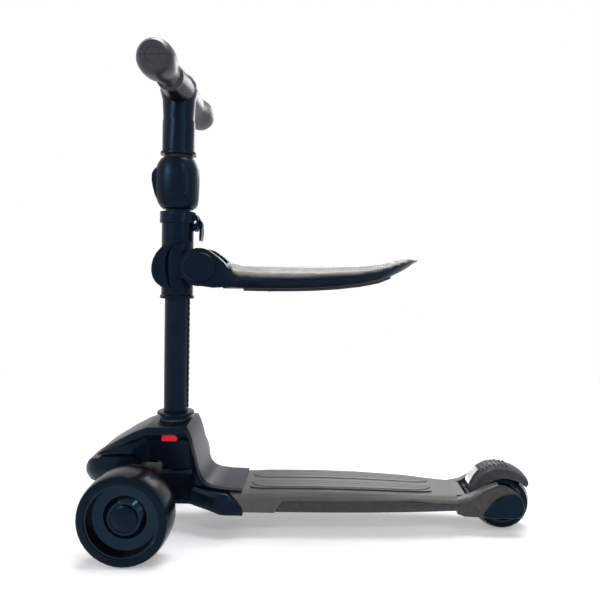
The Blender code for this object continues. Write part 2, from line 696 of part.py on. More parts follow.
def hood_recess(x):
    """How far the side panel lies in behind the ridge that frames it."""
    front = FRONT_AXLE_X + PANEL_FRONT
    rear = FRONT_AXLE_X + PANEL_REAR - 4 * MM
    return HOOD_RECESS * run(x, [(front, 0.0), (front + 4 * MM, 1.0), (rear, 1.0), (rear + 5 * MM, 0.0)])


def hood_floor(x):
    offset = x - FRONT_AXLE_X
    if offset < ARCH_FRONT:
        return WHEEL_RADIUS + run(offset, [(-68 * MM, 51.5 * MM), (-36.5 * MM, 57 * MM)])
    if offset < ARCH_REAR:
        return WHEEL_RADIUS + ARCH_TOP
    if offset < PANEL_REAR:
        return WHEEL_RADIUS + SEAM
    return WHEEL_RADIUS + run(offset, [(72 * MM, 12 * MM), (84 * MM, 9.5 * MM), (96 * MM, 7 * MM),
                                       (112 * MM, 5.2 * MM), (137.5 * MM, 4.5 * MM)])


def hood_ring(x, floor, shrink=0.0):
    top = run(x, HOOD_TOP) - shrink
    width = hood_half_width(x) - shrink
    side = width - hood_recess(x)
    depth = top - floor
    falls = ((0.8, 0.05), (2.6, 0.12), (3.6, 0.2), (12, 0.5), (17, 0.65), (20, 0.75))
    drop = [min(fall * MM, depth * share) for fall, share in falls]
    return section(x, [(0, top), (width * 0.5, top - drop[0]), (width * 0.84, top - drop[1]),
                       (width * 0.875, top - drop[2]), (width, top - drop[3]), (width - 1 * MM, top - drop[4]),
                       (side, top - drop[5]), (side, floor), (0, floor)])


def front_housing():
    """The hood is a shell: open below, bored for the stem's socket and slotted for the red button."""
    breaks = [FRONT_AXLE_X + edge for edge in (ARCH_FRONT, ARCH_REAR, PANEL_REAR)]
    stations = [x for x, z in HOOD_TOP] + breaks + [x - STEP for x in breaks]
    stations += [FRONT_AXLE_X + x for x in (PANEL_FRONT, PANEL_FRONT + 4 * MM, RELEASE_BACK)]
    hood = loft([hood_ring(x, hood_floor(x)) for x in sorted(set(stations))])
    inside = [FRONT_AXLE_X + x for x in (ARCH_REAR + HOOD_WALL, RELEASE_BACK, RELEASE_BACK + 17.5 * MM,
                                         PANEL_REAR - 2 * HOOD_WALL)]
    cut(hood, loft([hood_ring(x, WHEEL_RADIUS + SEAM - 3 * MM, HOOD_WALL) for x in inside]))
    bore = rod(SOCKET_RADIUS + GAP, -COLLAR_RISE, COLLAR_RISE, steps=SHOWN)
    bore.data.transform(Matrix.Translation((FRONT_AXLE_X + STEM_SETBACK, 0, WHEEL_RADIUS + COLLAR_RISE)) @
                        Matrix.Rotation(STEM_LEAN, 4, "Y"))
    cut(hood, bore)
    cut(hood, release_plug(-2 * HOOD_HALF_WIDTH, -SOCKET_RADIUS - 1 * MM, SLIDE_PLAY))
    piece("front_housing", hood, SATIN_BLACK)


def nose_lip():
    """The lower lip: it closes the hood's front edge, and its sides rise clear of the wheels."""
    tip = -NOSE_OVERHANG / MM
    outline = from_front([(tip, 30), (tip + 2, 39), (tip + 6.4, 45.5), (-75, 50), (-66.5, 52), (-49.5, 54),
                          (-14, 56.5), (-2, 57)])
    floors = from_front([(tip, 20), (tip + 2, 15.5), (tip + 6.4, 13), (-75, 12.5), (-66.5, 14), (-49.5, 18),
                         (-14, 31), (-2, 36)])
    shares = (0.52, 0.78, 0.9, 1.02, 1.09, 1.14, 1.14, 1.12)
    rings = []
    for (x, top), (same, floor), share in zip(outline, floors, shares):
        width = HOOD_HALF_WIDTH * share
        if x > HOOD_TOP[0][0] - 1 * MM:
            top = min(top, hood_floor(x) - GAP)
        depth = top - floor
        rings.append(section(x, [(0, top), (width * 0.9, top - depth * 0.06), (width, top - depth * 0.2),
                                 (width, top - depth * 0.45), (width * 0.92, floor + depth * 0.3),
                                 (width * 0.72, floor), (0, floor)]))
    lip = loft(rings)
    front = FRONT_AXLE_X - 70 * MM
    cut(lip, block((front, -38 * MM, 0), (FRONT_AXLE_X, 38 * MM, WHEEL_RADIUS + ARCH_TOP + 1.5 * MM)))
    piece("nose_lip", lip, SATIN_BLACK)


def nose_boot():
    """The boot joins hood and deck. Its pocket holds the deck's front end."""
    step = (PANEL_REAR - 2 * STEP) / MM
    tops = from_front([(23, 34), (60, 34), (step, 34), (step + 0.4, 11.5), (93.5, 7.2), (107.5, 5.5), (115.5, 4.8),
                       (121.5, 3), (129.5, -1.5), (136.5, -12), (BOOT_REAR / MM, -21.5)])
    floors = (41.5, 41.5, 41.5, 41.5, 38, 33.5, 33, 33, 33, 33.3, 33.6)
    widths = (42, 42, 44.5, 46.5, 58, 60.5, 61, 61, 61, 60.5, 60)
    rings = []
    for (x, top), floor, width in zip(tops, floors, widths):
        top -= GAP
        floor *= MM
        width *= MM
        soft = min(7 * MM, (top - floor) * 0.3)
        rings.append(section(x, [(0, top), (width * 0.6, top), (width - soft * 0.5, top - soft * 0.3),
                                 (width, top - soft), (width, floor + soft), (width - soft * 0.6, floor), (0, floor)]))
    boot = loft(rings)
    rear = FRONT_AXLE_X + BOOT_REAR + 10 * MM
    cut(boot, loft([deck_ring(x, GAP) for x in (DECK_FRONT_X - GAP, along_deck(0.09), rear)]))
    piece("nose_boot", boot, SATIN_BLACK)


def release_plug(outer, inner, grow=0.0):
    """The red button's rounded bar, from its outer face to its inner end."""
    half_x = RELEASE_LENGTH / 2 + grow
    half_z = RELEASE_HEIGHT / 2 + grow
    corner = half_z * 0.7
    outline = []
    for x, z, start in ((1, 1, 0), (-1, 1, 90), (-1, -1, 180), (1, -1, 270)):
        centre_x = FRONT_AXLE_X + RELEASE_BACK + x * (half_x - corner)
        centre_z = WHEEL_RADIUS + RELEASE_RISE + z * (half_z - corner)
        outline += arc(centre_x, centre_z, corner, start, start + 90, 3)
    return prism(outline, outer, inner, 0 if grow else 0.8 * MM)


def release_button():
    """The button's bar ends its travel short of the socket."""
    at = (FRONT_AXLE_X + RELEASE_BACK, 0, WHEEL_RADIUS + RELEASE_RISE)
    face = hood_half_width(at[0]) - hood_recess(at[0])
    plug = release_plug(-face - RELEASE_PROUD, -SOCKET_RADIUS - RELEASE_TRAVEL - 1.5 * MM)
    plug.data.transform(Matrix.Translation(-Vector(at)))
    piece("release_button", plug, RED, empty("pivot_release_button", at))


# Stem

def stem_socket():
    """A cup with a floor that the stem's foot stands on."""
    bore = TUBE_RADIUS + SLIDE_PLAY
    floor = -TUBE_INSERTION - GAP
    foot = floor - SOCKET_FLOOR
    brim = COLLAR_FOOT - GAP
    socket = turned([(0, foot), (SOCKET_RADIUS, foot), (SOCKET_RADIUS, brim), (bore, brim), (bore, floor),
                     (0, floor)])
    piece("stem_socket", socket, CAST_METAL, stem_base)


def collar_ring():
    """The lipped ring where the stem leaves the hood."""
    bore = TUBE_RADIUS + SLIDE_PLAY
    neck = COLLAR_RADIUS - 3 * MM
    ring = turned([(bore, COLLAR_FOOT), (neck, COLLAR_FOOT), (neck, COLLAR_TOP - 5 * MM),
                   (COLLAR_RADIUS, COLLAR_TOP - 3.5 * MM), (COLLAR_RADIUS - 0.8 * MM, COLLAR_TOP - 1 * MM),
                   (COLLAR_RADIUS - 3 * MM, COLLAR_TOP), (bore, COLLAR_TOP)])
    piece("collar_ring", ring, SATIN_BLACK, stem_base)


def lower_tube():
    tube = sleeve(TUBE_RADIUS, TUBE_RADIUS - TUBE_WALL, -TUBE_INSERTION, TUBE_TOP)
    piece("lower_tube", tube, TUBE_BLACK, stem_pivot)


def height_rack():
    """A toothed strip down the back of the tube, which the seat bracket runs along."""
    inner = TUBE_RADIUS + GAP
    outer = inner + RACK_DEPTH
    count = int((RACK_TOP - RACK_BOTTOM) / RACK_PITCH)
    outline = [(inner, RACK_BOTTOM)]
    for tooth in range(count):
        low = RACK_BOTTOM + tooth * RACK_PITCH
        outline += [(outer, low + 0.1 * RACK_PITCH), (outer - 0.7 * MM, low + 0.8 * RACK_PITCH)]
    outline += [(inner, RACK_BOTTOM + count * RACK_PITCH)]
    piece("height_rack", prism(outline, -RACK_WIDTH / 2, RACK_WIDTH / 2), TUBE_BLACK, stem_pivot)


# Height lock: two half shells round the tube's top, with a push button in front

LOCK_SECTIONS = [(0.0, 21.0, 21.0, 0.74), (3, 24.5, 25.5, 0.83), (8, 28.0, 28.2, 0.92), (15, 30.5, 29.3, 0.97),
                 (29, 32.5, 29.9, 1.0), (44, 33.0, 30.2, 1.0), (56, 32.0, 30.0, 0.98), (65, 29.0, 27.5, 0.93),
                 (70.5, 25.5, 24.5, 0.86), (72.8, 22.5, 22.3, 0.79)]
BUTTON_FACE = [(13, 26), (15, 31.0), (20, 33.2), (32, 36.6), (42, 38.3), (50, 38.0), (56, 34.5), (60, 29.5), (61, 26)]


def lock_half(side):
    """One half of the lock's housing, closed by the flat seam between the halves."""
    rings = []
    for height, front, rear, share in LOCK_SECTIONS:
        row = []
        for i in range(13):
            c = math.cos(math.pi * i / 12)
            s = abs(math.sin(math.pi * i / 12))
            reach = (rear if c > 0 else front) * MM
            row.append((reach * math.copysign(abs(c) ** 0.88, c),
                        side * (GAP / 2 + LOCK_HALF_WIDTH * share * round(s, 9) ** 0.88), LOCK_BOTTOM + height * MM))
        rings.append(row)
    return loft(rings)


def lock_button_block(back, grow=0.0):
    """The bulged push button: flat behind, and following the housing's curve in front."""
    rings = []
    last = len(BUTTON_FACE) - 1
    for i, (height, front) in enumerate(BUTTON_FACE):
        z = LOCK_BOTTOM + height * MM + (grow if i == last else -grow if i == 0 else 0)
        face = front * MM + grow
        width = LOCK_BUTTON_HALF_WIDTH + grow
        half = [(-face, 0), (-face + 0.8 * MM, width * 0.5), (-face + 3 * MM, width), (-back, width)]
        rings.append([(x, y, z) for x, y in half] + [(x, -y, z) for x, y in reversed(half) if y > 0])
    return loft(rings)


def lock_shells():
    top = LOCK_BOTTOM + LOCK_SECTIONS[-1][0] * MM
    for side, name in ((-1, "left"), (1, "right")):
        shell = lock_half(side)
        cut(shell, rod(TUBE_RADIUS + SLIDE_PLAY, LOCK_BOTTOM - 10 * MM, TUBE_TOP + 1 * MM, steps=SHOWN))
        cut(shell, rod(LOCK_COLLAR_RADIUS + GAP, TUBE_TOP + GAP, top + 10 * MM, steps=SHOWN))
        cut(shell, lock_button_block(LOCK_BACK, SLIDE_PLAY))
        piece(f"lock_shell_{name}", shell, SATIN_BLACK, stem_pivot)


def lock_collar():
    collar = sleeve(LOCK_COLLAR_RADIUS, INNER_RADIUS + GAP, TUBE_TOP + 2 * GAP, SLEEVE_BOTTOM - 2 * GAP)
    piece("lock_collar", collar, RUBBER, stem_pivot)


def height_button():
    cap = lock_button_block(LOCK_BACK + BUTTON_TRAVEL + 1 * MM)
    centre = LOCK_BOTTOM + 37 * MM
    cap.data.transform(Matrix.Translation((0, 0, -centre)))
    piece("height_button", cap, SATIN_BLACK, empty("pivot_height_button", (0, 0, centre), stem_pivot))


# T-bar

def bar_sleeve():
    """The sleeve under the T, with a flange at its foot."""
    bore = INNER_RADIUS + GAP
    shape = turned([(bore, SLEEVE_BOTTOM), (SLEEVE_FLANGE_RADIUS, SLEEVE_BOTTOM),
                    (SLEEVE_FLANGE_RADIUS, SLEEVE_BOTTOM + 4 * MM), (SLEEVE_RADIUS, SLEEVE_BOTTOM + 5.5 * MM),
                    (SLEEVE_RADIUS, SLEEVE_TOP), (bore, SLEEVE_TOP)])
    piece("bar_sleeve", shape, SATIN_BLACK, bar_pivot)


def inner_tube():
    top = BAR_HEIGHT - BAR_RADIUS - 2 * GAP
    tube = sleeve(INNER_RADIUS, INNER_RADIUS - TUBE_WALL, INNER_TUBE_BOTTOM, top)
    piece("inner_tube", tube, TUBE_BLACK, bar_pivot)


def t_hub():
    """The moulded T: a neck that swells to a ball, and an arm each way round the cross bar."""
    neck = SLEEVE_RADIUS - 0.8 * MM
    base = SLEEVE_TOP + GAP
    profile = [(0, base), (neck, base), (neck, base + 8 * MM)]
    for degrees in (-30, 0, 25, 48, 70):
        angle = math.radians(degrees)
        profile.append((HUB_BULGE * math.cos(angle), BAR_HEIGHT + HUB_BULGE * math.sin(angle)))
    profile.append((0, BAR_HEIGHT + HUB_BULGE))
    hub = turned(profile)
    end = BAR_HALF_WIDTH - GRIP_LENGTH - GAP
    swell = HUB_BULGE - 4 * MM
    centre = (BAR_SETBACK, 0, BAR_HEIGHT)
    arms = loft([hoop(radius, y, SHOWN, "Y", centre) for radius, y in
                 ((ARM_RADIUS, -end), (ARM_RADIUS + 2 * MM, -swell), (ARM_RADIUS + 2 * MM, swell),
                  (ARM_RADIUS, end))])
    join(hub, arms)
    cut(hub, rod(BAR_RADIUS + GAP, -BAR_HALF_WIDTH, BAR_HALF_WIDTH, "Y", centre, SHOWN))
    cut(hub, rod(INNER_RADIUS + GAP, base - 5 * MM, BAR_HEIGHT - BAR_RADIUS, steps=SHOWN))
    piece("t_hub", hub, SATIN_BLACK, bar_pivot)


def cross_bar():
    end = BAR_HALF_WIDTH - END_CAP_DEPTH - 1.2 * MM
    bar = sleeve(BAR_RADIUS, BAR_RADIUS - TUBE_WALL, -end, end, "Y")
    piece("cross_bar", bar, STEEL, bar_pivot, (BAR_SETBACK, 0, BAR_HEIGHT))


def grip(side, name):
    """A slim handle between a flange and a ball end, with a disc in the end."""
    bore = BAR_RADIUS + GAP
    start = BAR_HALF_WIDTH - GRIP_LENGTH
    bulb = GRIP_BULB_RADIUS
    pocket = BAR_HALF_WIDTH - END_CAP_DEPTH - 0.6 * MM
    profile = [(bore, start), (ARM_RADIUS, start), (ARM_RADIUS, start + 4 * MM), (GRIP_RADIUS, start + 8 * MM),
               (GRIP_RADIUS, start + 0.3 * GRIP_LENGTH), (bulb - 3.5 * MM, BAR_HALF_WIDTH - 43 * MM),
               (bulb - 0.8 * MM, BAR_HALF_WIDTH - 32 * MM), (bulb, BAR_HALF_WIDTH - 20 * MM),
               (bulb - 0.8 * MM, BAR_HALF_WIDTH - 10.5 * MM), (bulb - 3 * MM, BAR_HALF_WIDTH - 4.5 * MM),
               (bulb - 7 * MM, BAR_HALF_WIDTH), (END_CAP_RADIUS, BAR_HALF_WIDTH), (END_CAP_RADIUS, pocket),
               (bore, pocket)]
    handle = turned([(r, side * y) for r, y in profile], SHOWN, "Y")
    piece(f"grip_{name}", handle, GRIP_GREY, bar_pivot, (BAR_SETBACK, 0, BAR_HEIGHT))
    face = BAR_HALF_WIDTH - GAP
    cap = rod(END_CAP_RADIUS - GAP, side * (face - END_CAP_DEPTH), side * face, "Y", steps=SHOWN)
    piece(f"end_cap_{name}", cap, SATIN_BLACK, bar_pivot, (BAR_SETBACK, 0, BAR_HEIGHT))


# Seat bracket and its clamp

def bracket_body():
    """A sleeve round the tube, with a swelling in front and a lug behind for the seat's hinge pin."""
    body = loft([hoop(radius, z, SHOWN) for radius, z in
                 ((BRACKET_FLANGE_RADIUS, BRACKET_BOTTOM), (BRACKET_FLANGE_RADIUS, BRACKET_BOTTOM + 4 * MM),
                  (BRACKET_RADIUS, BRACKET_BOTTOM + 5.5 * MM), (BRACKET_RADIUS, BRACKET_TOP))])
    front = [(-4, 38), (-12, 33.8), (-20.5, 26.5), (-26.5, 19.5), (-31, 11), (-33.3, 2), (-33.6, -7), (-31.6, -15.5),
             (-27, -23), (-20, -28.6), (-11, -31.7), (-4, -32)]
    lobe = prism([(x * MM, HINGE_Z + z * MM) for x, z in front], -LOBE_HALF_WIDTH, LOBE_HALF_WIDTH)
    outer = [(12.5, 39.5), (2, 38.5), (-8, 34.2), (-18, 26), (-24.5, 18.5), (-29.2, 9.5), (-31.4, 0), (-31, -10),
             (-27.5, -18.5), (-21.5, -25.5), (-13, -30), (-4, -30.8)]
    inner = [(-7.5, -25), (-10.3, -13), (-11.4, 0), (-11, 11), (-9, 19), (-3.5, 27.5), (5, 33.2), (13.5, 36)]
    cheek = [(x * MM, HINGE_Z + z * MM) for x, z in outer + inner]
    for side in (-1, 1):
        join(lobe, prism(cheek, side * (LOBE_HALF_WIDTH - 4 * MM), side * CHEEK_HALF_WIDTH, 0.8 * MM))
    root = 6 * MM
    lug = [(root, HINGE_Z - LUG_RADIUS)] + arc(HINGE_X, HINGE_Z, LUG_RADIUS, -90, 90, 8)
    lug += [(root, HINGE_Z + LUG_RADIUS)]
    join(body, lobe, prism(lug, -LUG_HALF_WIDTH, LUG_HALF_WIDTH))
    cut(body, rod(TUBE_RADIUS + SLIDE_PLAY, BRACKET_BOTTOM - 5 * MM, BRACKET_TOP + 5 * MM, steps=SHOWN))
    slot = RACK_WIDTH / 2 + SLIDE_PLAY
    rack_outer = TUBE_RADIUS + GAP + RACK_DEPTH + SLIDE_PLAY
    cut(body, block((0, -slot, BRACKET_BOTTOM - 5 * MM), (rack_outer, slot, BRACKET_TOP + 5 * MM)))
    cut(body, rod(HINGE_PIN_RADIUS + BUSH_PLAY, -2 * LUG_HALF_WIDTH, 2 * LUG_HALF_WIDTH, "Y", (HINGE_X, 0, HINGE_Z)))
    piece("bracket_body", body, SATIN_BLACK, bracket_pivot)


def clamp_band():
    """A split band round the bracket's top, with two ears and the lever's pin between them."""
    low = BRACKET_TOP - BAND_HEIGHT
    band = sleeve(BAND_RADIUS, BRACKET_RADIUS + GAP, low, BRACKET_TOP)
    root = BRACKET_RADIUS + 1 * MM
    face = [(1.2, -EAR_REACH), (3.6, -10), (4.8, -6), (EAR_NOSE, 0), (4.8, 6), (3.2, 9.5), (0.6, EAR_REACH - 1)]
    for side in (-1, 1):
        ear = [(root, CLAMP_Z - EAR_REACH * MM)] + [(CLAMP_X + x * MM, CLAMP_Z + z * MM) for x, z in face]
        ear += [(root, CLAMP_Z + (EAR_REACH - 1) * MM)]
        join(band, prism(ear, side * (EAR_NEAR - 1 * MM), side * EAR_FAR))
    cut(band, block((0, -EAR_NEAR, low - 5 * MM), (2 * BAND_RADIUS, EAR_NEAR, BRACKET_TOP + 5 * MM)))
    join(band, rod(CLAMP_PIN_RADIUS, -EAR_FAR - GAP, EAR_FAR + GAP, "Y", (CLAMP_X, 0, CLAMP_Z)))
    piece("clamp_band", band, SATIN_BLACK, bracket_pivot)


def clamp_lever():
    """A cam on the clamp's pin with a curved tail that hangs down behind the bracket."""
    pivot = empty("pivot_clamp_lever", (CLAMP_X, 0, CLAMP_Z), bracket_pivot)
    inner = EAR_NEAR - 0.4 * MM
    lever = rod(CAM_RADIUS, -inner, inner, "Y")
    neck = [(0.5, 3), (4.5, 3.4), (8, 3.2), (9.8, 0.5), (10.4, -4), (10.3, -9.5), (6.6, -9.5), (5, -4), (3, -3),
            (0.5, -3)]
    join(lever, prism([(x * MM, z * MM) for x, z in neck], 0.2 * MM - inner, inner - 0.2 * MM))
    tail = [(6.7, -8.6), (10.2, -8.6), (10, -16), (9, -23.5), (8, -26.5), (6.4, -26.3), (6, -23), (6.3, -16)]
    join(lever, prism([(x * MM, z * MM) for x, z in tail], -8.5 * MM, 8.5 * MM))
    cut(lever, rod(CLAMP_PIN_RADIUS + BUSH_PLAY, -2 * EAR_FAR, 2 * EAR_FAR, "Y"))
    piece("clamp_lever", lever, SATIN_BLACK, pivot)


def hinge_pin():
    end = LUG_HALF_WIDTH + GAP + SEAT_HUB_THICKNESS - SEAT_BUTTON_POCKET - GAP
    piece("hinge_pin", rod(HINGE_PIN_RADIUS, -end, end, "Y", (HINGE_X, 0, HINGE_Z)), STEEL, bracket_pivot)


# Seat: outlines run along the seat in shares of its length, with heights in mm over the hinge

SEAT_LINE = [(0.098, 6), (0.130, -3), (0.166, -11.5), (0.221, -13.9), (0.463, -15), (0.586, -13), (0.733, -10.3),
             (0.836, -4.5), (0.898, 1.9), (0.94, 7.5), (0.977, 9.5), (1.0, 10)]
SEAT_UNDER = [(0.098, -33), (0.375, -34), (0.521, -33), (0.67, -30), (0.795, -24.5), (0.878, -14.7), (0.945, -4.5),
              (0.977, 2), (1.0, 7)]
SEAT_WIDTHS = [(0.098, 0.60), (0.18, 0.68), (0.326, 0.86), (0.521, 0.97), (0.717, 1.0), (0.847, 0.94), (0.928, 0.76),
               (0.977, 0.48), (1.0, 0.20)]
PAD_FLARE = 0.1395
PAD_CROWNS = [(0.111, 0.46), (PAD_FLARE, 0.67), (0.145, 0.72), (0.18, 0.9), (0.221, 0.95), (0.456, 1.0), (0.65, 0.9), (0.765, 0.72), (0.9, 0.42),
              (0.948, 0.3), (0.985, 0.12)]
SEAT_STATIONS = (0.18, 0.25, 0.33, 0.43, 0.53, 0.63, 0.73, 0.81, 0.865, 0.915, 0.95, 0.977)


def seat_sizes(share):
    """The seat's place, its seam's height, the pan's underside, its half width and its rim."""
    seam = run(share, SEAT_LINE) * MM
    under = min(run(share, SEAT_UNDER) * MM + SEAT_COVER + GAP, seam - 2.5 * MM)
    width = SEAT_HALF_WIDTH * run(share, SEAT_WIDTHS)
    return SEAT_LENGTH * share, seam, under, width, min(8 * MM, width * 0.3)


def seat_shell():
    """The pan with its rim, and two round hubs that straddle the bracket's lug."""
    rings = []
    for share in (0.104, 0.145, *SEAT_STATIONS, 1.0):
        x, seam, under, width, rim = seat_sizes(share)
        depth = seam - under
        floor = seam - min(4 * MM, depth * 0.3)
        rings.append(section(x, [(0, floor), (width - rim, floor), (width - rim * 0.5, seam - depth * 0.04),
                                 (width - 1 * MM, seam - depth * 0.08), (width, seam - depth * 0.25),
                                 (width - rim * 0.3, seam - depth * 0.5), (width - rim * 0.9, under + depth * 0.12),
                                 (width - rim * 1.5, under), (0, under)]))
    shell = loft(rings)
    near = LUG_HALF_WIDTH + GAP
    far = near + SEAT_HUB_THICKNESS
    for side in (-1, 1):
        arm = arc(0, 0, SEAT_HUB_RADIUS, 62, 278, 12)
        arm += [(20 * MM, -29 * MM), (SEAT_ARM_REACH, -27 * MM), (SEAT_ARM_REACH, -20 * MM), (43.8 * MM, -13 * MM),
                (42 * MM, -3 * MM), (35.5 * MM, 6 * MM), (26 * MM, 14.5 * MM)]
        join(shell, prism(arm, side * near, side * far))
        cut(shell, seat_button_block(side * (far - SEAT_BUTTON_POCKET), side * (far + 5 * MM), SLIDE_PLAY))
    cut(shell, rod(HINGE_PIN_RADIUS + BUSH_PLAY, -2 * far, 2 * far, "Y"))
    piece("seat_shell", shell, SATIN_BLACK, seat_pivot)


def seat_button_block(inner, outer, grow=0.0):
    """A round-cornered button, longer than it is tall."""
    outline = []
    for x, same, z in hoop(1, 0, SHOWN, "Y"):
        outline.append(((SEAT_BUTTON_LENGTH + grow) * math.copysign(abs(x) ** 0.94, x),
                        (SEAT_BUTTON_HEIGHT + grow) * math.copysign(abs(z) ** 0.94, z)))
    return prism(outline, inner, outer, 0 if grow else 1 * MM)


def seat_buttons():
    face = LUG_HALF_WIDTH + GAP + SEAT_HUB_THICKNESS
    floor = SEAT_BUTTON_TRAVEL + 0.5 * MM - SEAT_BUTTON_POCKET
    for side, name in ((-1, "left"), (1, "right")):
        pivot = empty(f"pivot_seat_button_{name}", (0, side * face, 0), seat_pivot)
        button = seat_button_block(side * floor, side * SEAT_BUTTON_PROUD)
        piece(f"seat_button_{name}", button, SATIN_BLACK, pivot)


def seat_pad():
    """The crowned cushion: a tongue between the arms, a swelling over the seam and a thin tail."""
    rings = []
    for share in (0.111, PAD_FLARE, 0.145, *SEAT_STATIONS, 0.985):
        x, seam, under, width, rim = seat_sizes(share)
        if share <= PAD_FLARE:
            width = LUG_HALF_WIDTH - GAP
            rim = 1.5 * MM
        crown = SEAT_CROWN * run(share, PAD_CROWNS)
        floor = seam - min(4 * MM, (seam - under) * 0.3) + GAP
        edge = width - rim * 0.5
        level = seam + GAP
        rings.append(section(x, [(0, level + crown), (edge * 0.4, level + crown * 0.96),
                                 (edge * 0.7, level + crown * 0.83), (edge * 0.9, level + crown * 0.6),
                                 (edge, level + crown * 0.3), (edge - 1 * MM, level), (width - rim - GAP, floor),
                                 (0, floor)]))
    piece("seat_pad", loft(rings), PAD_GREY, seat_pivot)


def seat_under_cover():
    """A thin cover that closes the pan from below."""
    rings = []
    for share in (0.2, *SEAT_STATIONS[1:9]):
        x, seam, under, width, rim = seat_sizes(share)
        top = under - GAP
        edge = width - rim * 1.6
        rings.append(section(x, [(0, top), (edge, top), (edge - 1.2 * MM, top - SEAT_COVER), (0, top - SEAT_COVER)]))
    piece("seat_under_cover", loft(rings), DARK_GREY, seat_pivot)


# Rear fork and brake

FORK_TOP = [(-66.5, 7.7), (-50.5, 11.8), (-31.5, 23.9), (-11.5, 31.0), (0.5, 29.5), (9, 25.5), (16, 20), (21, 14)]
FORK_BOTTOM = [(18.5, -13.2), (8, -14), (-22.5, -14), (-38, -12.4), (-59, -11.6), (-66, -8.8)]


def rear_fork():
    """Two arms and a bridge ahead of the wheel. Their bosses carry the axle."""
    front = DECK_REAR_X + GAP
    outline = [(front, REAR_RADIUS - 8.8 * MM), (front, REAR_RADIUS + 7.6 * MM)] + from_rear(FORK_TOP)
    outline += arc(REAR_AXLE_X, REAR_RADIUS, 24.7 * MM, 20, -22, 3) + from_rear(FORK_BOTTOM)
    fork = prism(outline, -FORK_OUTER, -FORK_PLATE_Y)
    join(fork, block((front + 0.1 * MM, -FORK_OUTER + 2 * MM, DECK_BOTTOM + 0.5 * MM),
                     (REAR_AXLE_X - REAR_RADIUS - 9 * MM, FORK_OUTER - 2 * MM, DECK_BOTTOM + 8.5 * MM)))
    join(fork, prism(outline, FORK_PLATE_Y, FORK_OUTER))
    axle = (REAR_AXLE_X, 0, REAR_RADIUS)
    for side in (-1, 1):
        join(fork, rod(FORK_BOSS_RADIUS, side * (REAR_WIDTH / 2 + 1 * MM), side * (FORK_PLATE_Y + 2 * MM), "Y", axle,
                       SMALL))
        cut(fork, rod(AXLE_RADIUS + GAP, side * 10 * MM, side * 2 * FORK_OUTER, "Y", axle))
    blind = FORK_OUTER - 3.5 * MM
    cut(fork, rod(BRAKE_PIN_RADIUS + GAP, -blind, blind, "Y", (BRAKE_X, 0, BRAKE_Z)))
    piece("rear_fork", fork, DECK_GREY)


def axle_covers():
    """A leaf-shaped cover over each end of the rear axle."""
    outline = from_rear([(-32.5, -10), (-28.5, -4), (-23.5, 3.4), (-18.5, 9.3), (-12.6, 14.2), (-6, 17.6), (1, 19.5),
                         (8, 20), (14, 18.8), (19, 15), (22, 9.5), (23.2, 3), (22.7, -3.5), (20.5, -8.8),
                         (17, -11.8), (10, -12.8), (-10, -13), (-26, -12.8)])
    for side, name in ((-1, "left"), (1, "right")):
        near = FORK_OUTER + GAP
        piece(f"axle_cover_{name}", prism(outline, side * near, side * (near + COVER_THICKNESS), 0.9 * MM), SATIN_BLACK)


def rear_axle():
    end = FORK_OUTER - 1 * MM
    piece("rear_axle", rod(AXLE_RADIUS, -end, end, "Y", (REAR_AXLE_X, 0, REAR_RADIUS)), STEEL)


# The fender's line over the wheel: its angle, its swell and the depth of its sides
FENDER_ARC = [(166, -2.5, 5), (156, -1.5, 9), (147, 1.2, 13), (136, 2.8, 16), (123, 3.6, 17), (109, 4.2, 17),
              (95, 3.0, 16), (81, 1.2, 14.5), (67, 0.4, 13.5), (55, 0.2, 12.5), (47, -1.0, 11.5), (41, -2.6, 9.5)]


def fender_point(angle, radius, y):
    """A point over the rear wheel, in the frame of the brake's hinge."""
    x = REAR_AXLE_X - BRAKE_X + radius * math.cos(math.radians(angle))
    z = REAR_RADIUS - BRAKE_Z + radius * math.sin(math.radians(angle))
    return (x, y, z)


def fender_radius(angle):
    return REAR_RADIUS + FENDER_GAP + run(-angle, [(-a, swell * MM) for a, swell, skirt in FENDER_ARC])


def brake_fender():
    """A ribbed mudguard over the rear wheel that is pressed down with the heel to brake."""
    rings = []
    wide = FENDER_HALF_WIDTH
    for angle, swell, skirt in FENDER_ARC:
        outer = fender_radius(angle)
        skirt *= MM
        half = [(0, outer), (wide * 0.55, outer - 0.8 * MM), (wide * 0.85, outer - min(3.5 * MM, skirt * 0.5)),
                (wide, outer - skirt), (wide - 2.6 * MM, outer - skirt),
                (wide * 0.8, outer - min(8 * MM, skirt * 0.8)), (wide * 0.5, outer - 1 * MM - FENDER_WALL),
                (0, outer - FENDER_WALL)]
        row = half + [(-y, r) for y, r in reversed(half) if y > 0]
        rings.append([fender_point(angle, r, y) for y, r in row])
    fender = loft(rings)
    for rib in range(FENDER_RIBS):
        angle = 120 - 6.3 * rib
        bar = block((-1.1 * MM, -12 * MM, -1.5 * MM), (1.1 * MM, 12 * MM, 0.5 * MM))
        bar.data.transform(Matrix.Translation(fender_point(angle, fender_radius(angle), 0)) @
                           Matrix.Rotation(math.radians(90 - angle), 4, "Y"))
        join(fender, bar)
    join(fender, rod(BRAKE_BARREL, 1 * MM - wide, wide - 1 * MM, "Y"))
    room = 7 * MM
    cut(fender, block((-2 * BRAKE_BARREL, -room, -2 * BRAKE_BARREL), (2 * BRAKE_BARREL, room, 1.1 * BRAKE_BARREL)))
    cut(fender, rod(BRAKE_PIN_RADIUS + BUSH_PLAY, -2 * wide, 2 * wide, "Y"))
    piece("brake_fender", fender, DARK_GREY, brake_pivot)


